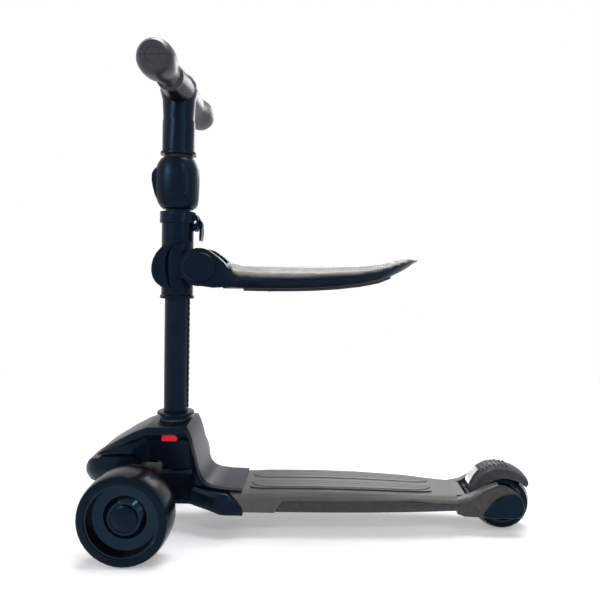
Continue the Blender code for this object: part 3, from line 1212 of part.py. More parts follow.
def brake_plate():
    """A thin bright plate along the front slope of the brake."""
    rings = []
    for angle, half_width in ((152, 10.5), (147, 11.0), (136, 10.0), (126, 8.0)):
        low = fender_radius(angle) + 2 * GAP
        wide = half_width * MM
        corners = ((-wide, low), (-wide, low + 0.9 * MM), (wide, low + 0.9 * MM), (wide, low))
        rings.append([fender_point(angle, r, y) for y, r in corners])
    piece("brake_plate", loft(rings), SILVER, brake_pivot)


def brake_hinge():
    end = FORK_OUTER - 4 * MM
    piece("brake_pin", rod(BRAKE_PIN_RADIUS, -end, end, "Y", (BRAKE_X, 0, BRAKE_Z)), STEEL)
    spring = sleeve(BRAKE_BARREL - 0.4 * MM, BRAKE_PIN_RADIUS + GAP, -6 * MM, 6 * MM, "Y", HIDDEN)
    piece("brake_spring", spring, STEEL, None, (BRAKE_X, 0, BRAKE_Z))


# Pivots that several pieces share

lean_pivot = empty("pivot_lean", (FRONT_AXLE_X, 0, WHEEL_RADIUS))
knuckle_pivots = {
    "left": empty("pivot_knuckle_left", (0, -KINGPIN_Y, 0), lean_pivot),
    "right": empty("pivot_knuckle_right", (0, KINGPIN_Y, 0), lean_pivot),
}
stem_base = empty("stem_base", (FRONT_AXLE_X + STEM_SETBACK, 0, WHEEL_RADIUS + COLLAR_RISE), None, (0, STEM_LEAN, 0))
stem_pivot = empty("pivot_stem", (0, 0, 0), stem_base)
bar_pivot = empty("pivot_t_bar", (0, 0, 0), stem_pivot)
bracket_pivot = empty("pivot_bracket_slide", (0, 0, 0), stem_pivot)
seat_pivot = empty("pivot_seat", (HINGE_X, 0, HINGE_Z), bracket_pivot, (0, -STEM_LEAN, 0))
brake_pivot = empty("pivot_brake", (BRAKE_X, 0, BRAKE_Z))

for side, name in ((-1, "left"), (1, "right")):
    knuckle(side, name)
    front_wheel(side, name)
    grip(side, name)
axle_beam()
tie_rod()
pivot_bracket()
lean_bumpers()
rear_wheel()
deck_shell()
tread_pad()
underside_tray()
front_housing()
nose_lip()
nose_boot()
release_button()
stem_socket()
collar_ring()
lower_tube()
height_rack()
lock_shells()
lock_collar()
height_button()
inner_tube()
bar_sleeve()
t_hub()
cross_bar()
bracket_body()
clamp_band()
clamp_lever()
hinge_pin()
seat_shell()
seat_pad()
seat_under_cover()
seat_buttons()
rear_fork()
axle_covers()
rear_axle()
brake_fender()
brake_plate()
brake_hinge()
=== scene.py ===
# %% [markdown]
# # A kids scooter with a folding seat
# The solids of this scooter come ready made from the CAD side, in metres, with +Z up and the front at -X.
# This notebook gives them their finishes, adds the small things that a solid modeller leaves out, and
# lights them as in a product photograph. It begins by loading the solids, because everything else is
# placed from them.

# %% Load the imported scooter
import json
import math

import bmesh
import bpy
from mathutils import Matrix, Vector


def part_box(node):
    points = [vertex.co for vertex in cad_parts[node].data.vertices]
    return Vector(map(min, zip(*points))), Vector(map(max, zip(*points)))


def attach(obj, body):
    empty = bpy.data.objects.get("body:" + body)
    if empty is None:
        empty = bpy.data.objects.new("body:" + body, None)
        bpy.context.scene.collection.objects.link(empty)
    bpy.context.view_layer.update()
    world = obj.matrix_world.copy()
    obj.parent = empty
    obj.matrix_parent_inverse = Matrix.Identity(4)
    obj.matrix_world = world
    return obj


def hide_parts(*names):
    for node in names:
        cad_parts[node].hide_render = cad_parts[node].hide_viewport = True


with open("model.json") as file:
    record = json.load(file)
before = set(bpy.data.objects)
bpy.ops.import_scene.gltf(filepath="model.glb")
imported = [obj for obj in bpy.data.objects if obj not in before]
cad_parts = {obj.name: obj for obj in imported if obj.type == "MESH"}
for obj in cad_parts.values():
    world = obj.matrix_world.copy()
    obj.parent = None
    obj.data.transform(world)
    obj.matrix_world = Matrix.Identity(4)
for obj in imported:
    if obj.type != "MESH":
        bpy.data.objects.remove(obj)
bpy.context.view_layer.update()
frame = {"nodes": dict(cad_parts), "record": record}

MM = 0.001
nodes = frame["nodes"]

# %% [markdown]
# ## The camera
# The photograph was taken from the scooter's left, from about half the scooter's height. The far grip shows
# to the right of the near one, so the camera stood behind the T-bar and close enough for strong
# perspective. A long lens would flatten that, so the distance is matched, not only the direction.

# %% Camera
CAMERA_PLACE = Vector((0.0172, -0.87, 0.3706))
CAMERA_YAW = 0.0339
CAMERA_PITCH = 0.0468
SENSOR = 36.0

camera = bpy.data.objects.new("camera", bpy.data.cameras.new("camera"))
bpy.context.scene.collection.objects.link(camera)
bpy.context.scene.camera = camera
camera.data.sensor_width = SENSOR
camera.data.lens = SENSOR
camera.location = CAMERA_PLACE
forward = Vector((-math.sin(CAMERA_YAW) * math.cos(CAMERA_PITCH),
                  math.cos(CAMERA_YAW) * math.cos(CAMERA_PITCH),
                  -math.sin(CAMERA_PITCH)))
camera.rotation_mode = "QUATERNION"
camera.rotation_quaternion = forward.to_track_quat("-Z", "Y")
print(f"the camera looks along {tuple(round(v, 4) for v in forward)}")

# %% [markdown]
# ## Shader maths as plain expressions
# A node tree is a drawing of arithmetic. Adding every node by hand buries the sum that it stands for, so
# one small class wraps a socket and turns Python's operators into Math nodes. Its method `node` adds any
# other kind: the settings go in first, then the values or links of the sockets. Colours never go through a
# Math node, which would turn them grey: they go through Mix.


# %% The wire class
class Wire:
    """One socket of a node tree, which can be added, subtracted and multiplied."""

    def __init__(self, tree, socket=None):
        self.tree = tree
        self.socket = socket

    def node(self, kind, settings=None, inputs=None, output=0):
        made = self.tree.nodes.new(kind)
        for name, value in (settings or {}).items():
            setattr(made, name, value)
        for name, value in (inputs or {}).items():
            if isinstance(value, Wire):
                self.tree.links.new(value.socket, made.inputs[name])
            else:
                made.inputs[name].default_value = value
        return Wire(self.tree, made.outputs[output] if len(made.outputs) else None)

    def maths(self, operation, other=0.0):
        return self.node("ShaderNodeMath", {"operation": operation}, {0: self, 1: other})

    def __add__(self, other):
        return self.maths("ADD", other)

    __radd__ = __add__

    def __mul__(self, other):
        return self.maths("MULTIPLY", other)

    def __sub__(self, other):
        return self.maths("SUBTRACT", other)

    def __abs__(self):
        return self.maths("ABSOLUTE")

    def ramp(self, start, end):
        """0 before start, 1 after end, and smooth between them. End may be below start."""
        settings = {"interpolation_type": "SMOOTHSTEP"}
        return self.node("ShaderNodeMapRange", settings, {"Value": self, "From Min": start, "From Max": end})

    def mix(self, first, second):
        """first where this wire is 0, second where it is 1. Both are colours."""
        settings = {"data_type": "RGBA", "clamp_factor": True}
        return self.node("ShaderNodeMix", settings, {0: self, 6: first, 7: second}, output=2)


def tint(colour, factor):
    """A colour made lighter or darker, with the fourth number that Blender's colours carry."""
    return tuple(min(1.0, channel * factor) for channel in colour[:3]) + (1.0,)


WHITE = (1, 1, 1, 1)
print("wires are ready")

# %% [markdown]
# ## What every finish here shares
# Each finish is a Principled shader whose colour, roughness and bump vary over the surface. The places are
# read in metres from the object itself, so a grain of 0.4 mm is 0.4 mm on every piece, and it moves with
# the piece when a joint turns. Handling shows on a toy in three ways, and each has a mask: cloudy patches
# of polish, fine scuffs, and edges that have been rubbed.


# %% The base of a finish
RUBBED_FROM, RUBBED_TO = 0.52, 0.62
RUB_PATCH = 6 * MM
SCUFF_SIZE = 2.2 * MM
ALL_WAYS = (1, 1, 1)


class Surface:
    """A new material, with the masks that its finish is made of."""

    def __init__(self, name):
        self.material = bpy.data.materials.new(name)
        self.material.use_nodes = True
        self.tree = self.material.node_tree
        self.tree.nodes.clear()
        self.start = Wire(self.tree)
        self.place = self.start.node("ShaderNodeTexCoord", output="Object")

    def noise(self, size, detail=3.0, roughness=0.55, stretch=ALL_WAYS):
        """Noise with features about `size` metres across. A factor below 1 makes them longer on that axis."""
        place = self.place
        if stretch != ALL_WAYS:
            place = self.start.node("ShaderNodeMapping", {}, {"Vector": place, "Scale": stretch})
        inputs = {"Vector": place, "Scale": 1.0 / size, "Detail": detail, "Roughness": roughness}
        return self.start.node("ShaderNodeTexNoise", {}, inputs)

    def cells(self, size):
        """The distance to the nearest of many centres, which lie about `size` metres apart."""
        inputs = {"Vector": self.place, "Scale": 1.0 / size}
        return self.start.node("ShaderNodeTexVoronoi", {"feature": "F1"}, inputs, "Distance")

    def along(self, axis):
        """The place along one axis, in metres."""
        return self.start.node("ShaderNodeSeparateXYZ", {}, {0: self.place}, output=axis)

    def edges(self):
        """1 on edges that stick out, broken up by noise as real rubbing is."""
        pointed = self.start.node("ShaderNodeNewGeometry", output="Pointiness").ramp(RUBBED_FROM, RUBBED_TO)
        return pointed * self.noise(RUB_PATCH).ramp(0.38, 0.62)

    def scuffs(self):
        """Short fine scratches along X, as from being laid down and picked up."""
        return self.noise(SCUFF_SIZE, 4.0, 0.6, stretch=(0.12, 1, 1)).ramp(0.60, 0.70)

    def bump(self, height, depth, before=None):
        inputs = {"Height": height, "Distance": depth, "Strength": 1.0}
        if before:
            inputs["Normal"] = before
        return self.start.node("ShaderNodeBump", {}, inputs)

    def finish(self, **sockets):
        inputs = {name.replace("_", " ").title().replace("Ior", "IOR"): value for name, value in sockets.items()}
        shader = self.start.node("ShaderNodeBsdfPrincipled", {}, inputs)
        self.start.node("ShaderNodeOutputMaterial", {}, {"Surface": shader})
        return self.material


finishes = {}
print("surfaces are ready")

# %% [markdown]
# ## Moulded plastic
# Most of such a scooter is injection-moulded plastic. The mould is blasted or etched, so the plastic carries
# a fine leather-like grain that softens its highlights, and it dulls or polishes where feet and hands touch
# it. An image of such a grain would stretch over these curved solids. Noise in object space doesn't, and
# two layers of it, one of grains and one of slow waviness, give the broken highlight of a real moulding.
# The blacks in the photograph look bluish where they catch light, so they tint what they mirror.

# %% Moulded plastic
BLUE_BLACK = (0.30, 0.62, 1.0, 1)
CLOUD_SIZE = 28 * MM
WAVE_SIZE = 9 * MM
WAVE_DEPTH = 0.05 * MM
WEAR = 0.08
POLISH = 0.10


def moulded(name, colour, rough, depth, specular, grain=0.45 * MM, cool=WHITE):
    surface = Surface(name)
    clouds = surface.noise(CLOUD_SIZE, 4.0)
    scuffs = surface.scuffs()
    rubbed = surface.edges()
    base = clouds.ramp(0.35, 0.70).mix(tint(colour, 0.94), tint(colour, 1.06))
    base = (scuffs * 0.25).mix(base, tint(colour, 1.6))
    base = (rubbed * 0.5).mix(base, tint(colour, 2.0))
    worn = clouds * WEAR + scuffs * WEAR - rubbed * POLISH + (rough - WEAR / 2)
    waves = surface.bump(surface.noise(WAVE_SIZE, 2.0), WAVE_DEPTH)
    normal = surface.bump(surface.noise(grain, 2.0), depth, waves)
    finishes[name] = surface.finish(base_color=base, roughness=worn, normal=normal, specular_ior_level=specular,
                                    specular_tint=cool)


GLOSS_BLACK = (0.0025, 0.003, 0.005, 1)
GREY_GRAIN = 0.6 * MM
moulded("satin_black", (0.0025, 0.0042, 0.0090), 0.30, depth=0.008 * MM, specular=0.16, cool=BLUE_BLACK)
moulded("deck_grey", (0.050, 0.048, 0.046), 0.40, grain=GREY_GRAIN, depth=0.010 * MM, specular=0.45)
moulded("tray_grey", (0.026, 0.027, 0.029), 0.46, grain=GREY_GRAIN, depth=0.012 * MM, specular=0.3)
moulded("dark_grey", (0.020, 0.023, 0.027), 0.42, grain=GREY_GRAIN, depth=0.012 * MM, specular=0.2)
moulded("gloss_black", GLOSS_BLACK, 0.12, grain=0.9 * MM, depth=0.001 * MM, specular=0.3, cool=BLUE_BLACK)
print(f"moulded finishes: {', '.join(finishes)}")

# %% [markdown]
# ## Soft finishes
# The grips and the seat pad are soft plastics that the hand reads as leather or rubber. They scatter light
# more widely than the hard parts, so they look greyer, and their grain is coarser. The grips were moulded
# in two halves, which leaves a parting line at half height. The line is too narrow to model, so it is a thin
# dark stripe with a groove in the bump.

# %% Grips, pad and rubber
GRIP_MID_HEIGHT = (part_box("grip_left")[0].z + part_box("grip_left")[1].z) / 2
PARTING_WIDTH = 0.7 * MM
PARTING_GROOVE = 4.0
SOFT_CLOUD_SIZE = 22 * MM
SOFT_WEAR = 0.14


def soft(name, colour, rough, grain, depth, specular, parting=None, sheen=0.0):
    surface = Surface(name)
    clouds = surface.noise(SOFT_CLOUD_SIZE, 4.0)
    pores = surface.cells(grain)
    base = clouds.ramp(0.3, 0.7).mix(tint(colour, 0.85), tint(colour, 1.18))
    base = (surface.scuffs() * 0.4).mix(base, tint(colour, 1.7))
    height = pores
    if parting is not None:
        line = abs(surface.along("Z") - parting).ramp(PARTING_WIDTH, PARTING_WIDTH * 0.4)
        base = line.mix(base, tint(colour, 0.08))
        height = height - line * PARTING_GROOVE
    normal = surface.bump(height, depth)
    worn = clouds * SOFT_WEAR + (rough - SOFT_WEAR / 2)
    finishes[name] = surface.finish(base_color=base, roughness=worn, normal=normal, specular_ior_level=specular,
                                    sheen_weight=sheen)


soft("grip_grey", (0.020, 0.022, 0.028), 0.34, 1.1 * MM, 0.015 * MM, specular=0.3, parting=GRIP_MID_HEIGHT)
soft("pad_grey", (0.19, 0.187, 0.178), 0.40, 0.9 * MM, 0.015 * MM, specular=0.4, sheen=0.15)
soft("rubber", (0.016, 0.016, 0.017), 0.62, 0.8 * MM, 0.03 * MM, specular=0.3)
soft("tread_rubber", (0.062, 0.063, 0.067), 0.40, 1.4 * MM, 0.03 * MM, specular=0.4)
print(f"the grips part at {GRIP_MID_HEIGHT * 1000:.1f} mm above the floor")

# %% [markdown]
# ## Tyres
# Tyres on such scooters are mostly solid polyurethane, cast in a polished mould. These are black, and glossy
# enough to mirror the studio. The tread is the first part to lose that polish, because it rubs on the floor,
# and grit leaves pits there. So the roughness and the pits rise with the distance from the axle. Each wheel
# has its own axle, so the finish is made once per wheel.

# %% Tyres
TREAD_START = 5 * MM
TREAD_FULL = 1 * MM
DUST_GREY = (0.014, 0.014, 0.015, 1)
DUST_SHOWS = 0.25
POLISHED_ROUGHNESS = 0.04
TREAD_ROUGHNESS = 0.14


def tyre_finish(node):
    low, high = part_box(node)
    axle_x, axle_z = (low.x + high.x) / 2, (low.z + high.z) / 2
    radius = (high.z - low.z) / 2
    surface = Surface(f"{node}_finish")
    x_off = surface.along("X") - axle_x
    z_off = surface.along("Z") - axle_z
    square = x_off * x_off + z_off * z_off
    reach = square.maths("SQRT")
    tread = reach.ramp(radius - TREAD_START, radius - TREAD_FULL)
    grit = surface.noise(0.9 * MM, 3.0)
    clouds = surface.noise(18 * MM, 3.0)
    dust = tread * clouds.ramp(0.38, 0.66)
    base = (dust * DUST_SHOWS).mix(GLOSS_BLACK, DUST_GREY)
    normal = surface.bump(grit * (tread * 0.9 + 0.06), 0.05 * MM)
    rough = clouds * 0.05 + tread * TREAD_ROUGHNESS + POLISHED_ROUGHNESS
    return surface.finish(base_color=base, roughness=rough, normal=normal, specular_ior_level=0.16,
                          specular_tint=BLUE_BLACK)


TYRES = ("tyre_left", "tyre_right", "rear_tyre")
tyre_finishes = {node: tyre_finish(node) for node in TYRES}
print(f"tyre finishes: {', '.join(tyre_finishes)}")

# %% [markdown]
# ## Metals
# A stem like this is mostly metal tube under black powder paint, which dries with a faint orange peel. The
# small hardware is unpainted steel, drawn or turned, so its scratches all run one way. The steering is
# hidden, and its parts get the mottled skin of a casting. The brake's plate is a bright rolled sheet.

# %% Paint and bare metal
PAINT_WEAR = 0.10
RUB_ROUGHNESS = 0.12
LINE_ROUGHNESS = 0.16


def painted(name, colour, rough):
    surface = Surface(name)
    clouds = surface.noise(35 * MM, 3.0)
    rub = surface.noise(1.6 * MM, 4.0, 0.6, stretch=(1, 1, 0.08)).ramp(0.60, 0.72)
    base = clouds.ramp(0.3, 0.7).mix(tint(colour, 0.85), tint(colour, 1.25))
    base = (rub * 0.5).mix(base, tint(colour, 3.0))
    peel = surface.bump(surface.noise(1.7 * MM, 2.0), 0.02 * MM)
    worn = rub * RUB_ROUGHNESS + clouds * PAINT_WEAR + (rough - PAINT_WEAR / 2)
    finishes[name] = surface.finish(base_color=base, roughness=worn, normal=peel, specular_ior_level=0.18,
                                    specular_tint=BLUE_BLACK)


def bare(name, colour, rough, stretch, mottle=0.0):
    surface = Surface(name)
    lines = surface.noise(0.5 * MM, 3.0, 0.6, stretch=stretch)
    clouds = surface.noise(9 * MM, 4.0)
    base = clouds.ramp(0.3, 0.7).mix(tint(colour, 0.82), tint(colour, 1.1))
    normal = surface.bump(lines + clouds * mottle, 0.012 * MM + 0.02 * MM * mottle)
    worn = lines * LINE_ROUGHNESS + (rough - LINE_ROUGHNESS / 2)
    finishes[name] = surface.finish(base_color=base, metallic=1.0, roughness=worn, normal=normal)


painted("tube_black", (0.0030, 0.0045, 0.0105), 0.34)
bare("steel", (0.55, 0.55, 0.56), 0.30, (1, 0.06, 1))
bare("cast_metal", (0.10, 0.10, 0.105), 0.50, ALL_WAYS, mottle=3.0)
bare("silver", (0.78, 0.78, 0.79), 0.24, (1, 0.05, 1))
moulded("red", (0.72, 0.012, 0.022), 0.30, grain=0.7 * MM, depth=0.002 * MM, specular=0.5)
print(f"{len(finishes)} finishes so far")

# %% [markdown]
# ## Give each solid its finish
# Every solid already names its material slot in the record, so the new finishes go on by that name, and
# nothing has to be listed again. The tyres have their own, and a few pieces differ from the others of their
# slot. The solids are faceted, as a CAD export is, and flat facets would spoil the highlights of a round
# part. Their shading normals are smoothed wherever two faces meet at less than a crease angle. The points
# themselves don't move.

# %% Finishes and smooth shading
CREASE = math.cos(math.radians(32))


def smooth_shading(mesh):
    """Averages each corner's normal with the neighbours that meet it at less than the crease angle."""
    around = {}
    keys = [tuple(round(c * 1e5) for c in vertex.co) for vertex in mesh.vertices]
    for face in mesh.polygons:
        for vertex in face.vertices:
            around.setdefault(keys[vertex], []).append((face.normal.copy(), face.area))
    normals = []
    for face in mesh.polygons:
        for vertex in face.vertices:
            total = Vector()
            for normal, area in around[keys[vertex]]:
                if normal.dot(face.normal) > CREASE:
                    total += normal * area
            normals.append(total.normalized() if total.length else face.normal.copy())
    for face in mesh.polygons:
        face.use_smooth = True
    mesh.normals_split_custom_set(normals)


OTHER_FINISHES = {"tread_pad": "tread_rubber", "end_cap_left": "grip_grey", "end_cap_right": "grip_grey",
                  "brake_pin": "satin_black", "brake_spring": "satin_black", "underside_tray": "tray_grey",
                  "rear_fork": "tray_grey"}

slot_of = {row["node"]: row["material_slot"] for row in frame["record"]["subparts"]}
for name, solid in nodes.items():
    chosen = tyre_finishes.get(name) or finishes[OTHER_FINISHES.get(name, slot_of[name])]
    solid.data.materials.clear()
    solid.data.materials.append(chosen)
    smooth_shading(solid.data)
print(f"{len(nodes)} solids finished")

# %% [markdown]
# ## The studio
# A product photographer lights a black object with large, soft, white sources, because black plastic shows
# little but reflections. One wide panel overhead draws the long highlights on the deck and the seat. One at
# the front left and one at the rear left light the side that faces the camera, and one on the far side parts
# the stem from the background. Two small panels add bright points. The camera and the reflections see a
# white surround. Matt surfaces are lit by a dim grey one instead, so the white adds no light to them.

# %% Lights
LIT_POINT = Vector((0.0, 0.0, 0.25))


def panel(name, place, size, power):
    """A rectangular lamp that faces the middle of the scooter. Its place and size are in metres, its power in
    watts."""
    lamp = bpy.data.lights.new(name, "AREA")
    lamp.shape = "RECTANGLE"
    lamp.size, lamp.size_y = size
    lamp.energy = power
    holder = bpy.data.objects.new(name, lamp)
    bpy.context.scene.collection.objects.link(holder)
    holder.location = place
    holder.rotation_mode = "QUATERNION"
    holder.rotation_quaternion = (LIT_POINT - Vector(place)).to_track_quat("-Z", "Y")


panel("overhead_panel", (0.1, 0.12, 1.9), (1.6, 0.8), 38)
panel("front_panel", (-1.3, -1.3, 1.1), (0.6, 0.8), 6)
panel("side_panel", (1.4, -1.3, 0.9), (0.4, 1.0), 4)
panel("rear_panel", (0.4, 1.8, 1.1), (1.0, 0.6), 7)
panel("front_spark", (-0.9, -1.1, 0.9), (0.16, 0.16), 2.5)
panel("side_spark", (0.5, -1.2, 1.2), (0.2, 0.2), 2.5)
print("four soft panels and two small ones")

# %% World
SURROUND_STRENGTH = 0.28
SURROUND_GREY = (0.95, 0.97, 1.0, 1)

world = bpy.data.worlds.new("surround")
bpy.context.scene.world = world
world.use_nodes = True
world.node_tree.nodes.clear()
sky = Wire(world.node_tree)
camera_ray = sky.node("ShaderNodeLightPath", output="Is Camera Ray")
glossy_ray = sky.node("ShaderNodeLightPath", output="Is Glossy Ray")
glass_ray = sky.node("ShaderNodeLightPath", output="Is Transmission Ray")
seen = camera_ray.maths("MAXIMUM", glossy_ray.maths("MAXIMUM", glass_ray))
dim = sky.node("ShaderNodeBackground", {}, {"Color": SURROUND_GREY, "Strength": SURROUND_STRENGTH})
white = sky.node("ShaderNodeBackground", {}, {"Color": WHITE, "Strength": 1.0})
both = sky.node("ShaderNodeMixShader", {}, {0: seen, 1: dim, 2: white})
sky.node("ShaderNodeOutputWorld", {}, {"Surface": both})
print(f"the unseen surround lights the scooter at {SURROUND_STRENGTH}")

# %% [markdown]
# The floor is a sheet of white paper: matt, a little uneven, and larger than the view. It takes the scooter's
# soft shadow. A little light of its own, seen only by the camera and by reflections, brings its open parts
# up to the white of the surround. Further out that light grows until the paper is as white as the surround,
# so no edge shows.

# %% Floor
FLOOR_SIZE = 24.0
FLOOR_DROP = 0.2 * MM
FLOOR_LIFT = 0.30
FADE_START = 0.75
FADE_END = 1.7
PAPER_CLOUD_SIZE = 60 * MM
PAPER_DARK = (0.83, 0.835, 0.845, 1)
PAPER_LIGHT = (0.86, 0.862, 0.868, 1)

floor_mesh = bpy.data.meshes.new("floor")
shape = bmesh.new()
bmesh.ops.create_grid(shape, x_segments=1, y_segments=1, size=FLOOR_SIZE / 2)
shape.to_mesh(floor_mesh)
shape.free()
floor = bpy.data.objects.new("floor", floor_mesh)
bpy.context.scene.collection.objects.link(floor)
floor.location.z = -FLOOR_DROP
paper = Surface("paper")
seen_glow = paper.start.node("ShaderNodeLightPath", output="Is Camera Ray")
seen_gloss = paper.start.node("ShaderNodeLightPath", output="Is Glossy Ray")
sheet_x = paper.along("X")
sheet_y = paper.along("Y")
spread = sheet_x * sheet_x + sheet_y * sheet_y
distance = spread.maths("SQRT")
fade = distance.ramp(FADE_START, FADE_END)
seen_paper = seen_glow.maths("MAXIMUM", seen_gloss)
glow = seen_paper * (FLOOR_LIFT + fade * (1.0 - FLOOR_LIFT))
tone = paper.noise(PAPER_CLOUD_SIZE, 3.0).ramp(0.3, 0.7).mix(PAPER_DARK, PAPER_LIGHT)
matt = paper.start.node("ShaderNodeBsdfDiffuse", {}, {"Color": tone})
light = paper.start.node("ShaderNodeEmission", {}, {"Color": WHITE, "Strength": glow})
lifted = paper.start.node("ShaderNodeAddShader", {}, {0: matt, 1: light})
far = fade * seen_paper
both_papers = paper.start.node("ShaderNodeMixShader", {}, {0: far, 1: lifted, 2: light})
paper.start.node("ShaderNodeOutputMaterial", {}, {"Surface": both_papers})
floor_mesh.materials.append(paper.material)
bpy.context.scene.view_settings.view_transform = "Standard"
print(f"the paper fades to white from {FADE_START} m to {FADE_END} m from the middle")

# %% [markdown]
# ## The seat cushion
# The seat is a block of soft foam with a skin, set in a hard pan. The solid gives its outline, but a solid
# has creases where foam has none. The cushion starts as a copy of it, remade as an even net, and a cloth
# simulation blows it up a little, as a filling would: the middle rises and the edge stays held by the pan.
# Each point may only move a small way, so the cushion can't grow through the pan. The shallow channels are
# pressed in afterwards, because so coarse a net would have lost them.

# %% An even net
PAD_NET = 4 * MM
PAD_SHRINK = 0.35 * MM

pad_low, pad_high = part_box("seat_pad")
cushion = bpy.data.objects.new("seat_cushion", nodes["seat_pad"].data.copy())
bpy.context.scene.collection.objects.link(cushion)


def apply_modifiers(subject):
    """Replaces an object's mesh by what its modifiers make of it, and drops them."""
    graph = bpy.context.evaluated_depsgraph_get()
    result = bpy.data.meshes.new_from_object(subject.evaluated_get(graph))
    subject.modifiers.clear()
    subject.data = result


net = cushion.modifiers.new("net", "REMESH")
net.mode = "VOXEL"
net.voxel_size = PAD_NET
apply_modifiers(cushion)
start = [vertex.co.copy() for vertex in cushion.data.vertices]
for vertex in cushion.data.vertices:
    vertex.co -= vertex.normal * PAD_SHRINK
print(f"the cushion's net has {len(start)} points")

# %% Blow it up
PAD_SWELL = 1.3 * MM
PAD_STEPS = 20
PAD_PRESSURE = 4.0
HELD_SHARE = 0.35
FREE_TILT = 0.4

filling = cushion.modifiers.new("filling", "CLOTH")
filling.settings.use_pressure = True
filling.settings.uniform_pressure_force = PAD_PRESSURE
filling.settings.effector_weights.gravity = 0
filling.point_cache.frame_start = 1
filling.point_cache.frame_end = PAD_STEPS
for step in range(1, PAD_STEPS + 1):
    bpy.context.scene.frame_set(step)
apply_modifiers(cushion)
bpy.context.scene.frame_set(1)
held_height = pad_low.z + HELD_SHARE * (pad_high.z - pad_low.z)
for vertex, before in zip(cushion.data.vertices, start):
    moved = vertex.co - before
    free = PAD_SWELL if before.z > held_height and vertex.normal.z > FREE_TILT else -PAD_SHRINK
    reach = moved.dot(vertex.normal)
    vertex.co = before + vertex.normal * max(-PAD_SHRINK, min(reach, free))
print(f"the filling lifts it by at most {PAD_SWELL * 1000:.1f} mm")

# %% [markdown]
# A finer net carries the pressed channels. One follows each side of the cushion, a fifth of its half width
# in from the edge, and one crosses it near the front. Each is a smooth dip whose depth falls off with the
# distance from its line. The half width is measured slice by slice, because the cushion's outline is curved.

# %% Channels
CHANNEL_INSET = 0.80
CHANNEL_WIDTH = 2.4 * MM
CHANNEL_DEPTH = 0.7 * MM
CROSS_PLACE = 27 * MM
CROSS_ZONE = 33 * MM
SLICE = 5 * MM
TOP_TILT = 0.5

finer = cushion.modifiers.new("finer", "SUBSURF")
finer.levels = finer.render_levels = 1
apply_modifiers(cushion)
half_width = {}
for vertex in cushion.data.vertices:
    key = round(vertex.co.x / SLICE)
    half_width[key] = max(half_width.get(key, 0), abs(vertex.co.y))
for vertex in cushion.data.vertices:
    if vertex.normal.z < TOP_TILT:
        continue
    half = half_width[round(vertex.co.x / SLICE)]
    off = abs(abs(vertex.co.y) - CHANNEL_INSET * half)
    if vertex.co.x < pad_low.x + CROSS_ZONE and abs(vertex.co.y) < CHANNEL_INSET * half:
        off = abs(vertex.co.x - (pad_low.x + CROSS_PLACE))
    vertex.co.z -= CHANNEL_DEPTH * math.exp(-(off / CHANNEL_WIDTH) ** 2)
cushion.data.shade_smooth()
cushion.data.materials.clear()
cushion.data.materials.append(finishes["pad_grey"])
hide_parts("seat_pad")
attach(cushion, "seat")
print(f"the cushion has {len(cushion.data.polygons)} faces")

# %% [markdown]
# ## Fasteners
# Moulded halves are often held by small cross-head screws, and the eye expects them. A screw head is a turned
# shape with a cross pressed into it. The cross is one polar formula: how far the recess reaches in each
# direction. Each screw finds its own place: a line is cast at the solid it sits in, and the head is laid
# on the point that it meets, square to the surface.

# %% Turned shapes
CROSS_SHARE = 0.24
SCREW_SEGMENTS = 32


def turned(profile, segments=SCREW_SEGMENTS, cross_from=None):
    """A solid turned about Z, through pairs of a radius and a height. The rings from `cross_from` on, where
    it is given, take the shape of a cross recess."""
    shape = bmesh.new()
    rings = []
    for index, (radius, height) in enumerate(profile):
        if radius == 0:
            rings.append([shape.verts.new((0, 0, height))] * segments)
            continue
        ring = []
        for turn in range(segments):
            angle = math.tau * turn / segments
            reach = radius
            if cross_from is not None and index >= cross_from:
                off = abs((angle + math.pi / 4) % (math.pi / 2) - math.pi / 4)
                reach = min(radius / math.cos(off), radius * CROSS_SHARE / max(math.sin(off), 1e-6))
            ring.append(shape.verts.new((reach * math.cos(angle), reach * math.sin(angle), height)))
        rings.append(ring)
    for lower, upper in zip(rings, rings[1:]):
        for turn in range(segments):
            corners = (lower[turn], lower[(turn + 1) % segments], upper[(turn + 1) % segments], upper[turn])
            shape.faces.new(list(dict.fromkeys(corners)))
    return shape


print(f"a turned shape has {SCREW_SEGMENTS} sides unless told otherwise")

# %% Find a place on a solid
FROM_LEFT, FROM_BELOW = (0, 1, 0), (0, 0, 1)


def land(node, start, direction):
    """Where a line first meets a solid, and the solid's normal there."""
    met, place, normal, _ = nodes[node].ray_cast(Vector(start), Vector(direction))
    if not met:
        raise ValueError(f"the line from {tuple(start)} misses {node}")
    return place, normal


def square_to(place, normal, lift=0.0):
    """The placement that turns a shape's Z to the normal and lifts it off the surface."""
    return Matrix.Translation(place + normal * lift) @ normal.to_track_quat("Z", "Y").to_matrix().to_4x4()


tray_place, _ = land("underside_tray", (0.076, -0.036, -0.1), FROM_BELOW)
print(f"a line from below meets the tray {tray_place.z / MM:.1f} mm above the floor")


# %% Join shapes into one piece
def piece(name, parts, body, finish_name):
    """One named piece from several placed shapes."""
    mesh = bpy.data.meshes.new(name)
    whole = bmesh.new()
    for shape, place in parts:
        shape.transform(place)
        part = bpy.data.meshes.new("part")
        shape.to_mesh(part)
        shape.free()
        whole.from_mesh(part)
        bpy.data.meshes.remove(part)
    bmesh.ops.recalc_face_normals(whole, faces=whole.faces)
    whole.to_mesh(mesh)
    whole.free()
    mesh.materials.append(finishes[finish_name])
    made = bpy.data.objects.new(name, mesh)
    bpy.context.scene.collection.objects.link(made)
    smooth_shading(mesh)
    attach(made, body)


print("pieces can be joined, finished and set on their bodies")

# %% A screw head
HEAD_HEIGHT = 0.42
RECESS_RING = 6
SCREW_SINK = 0.1


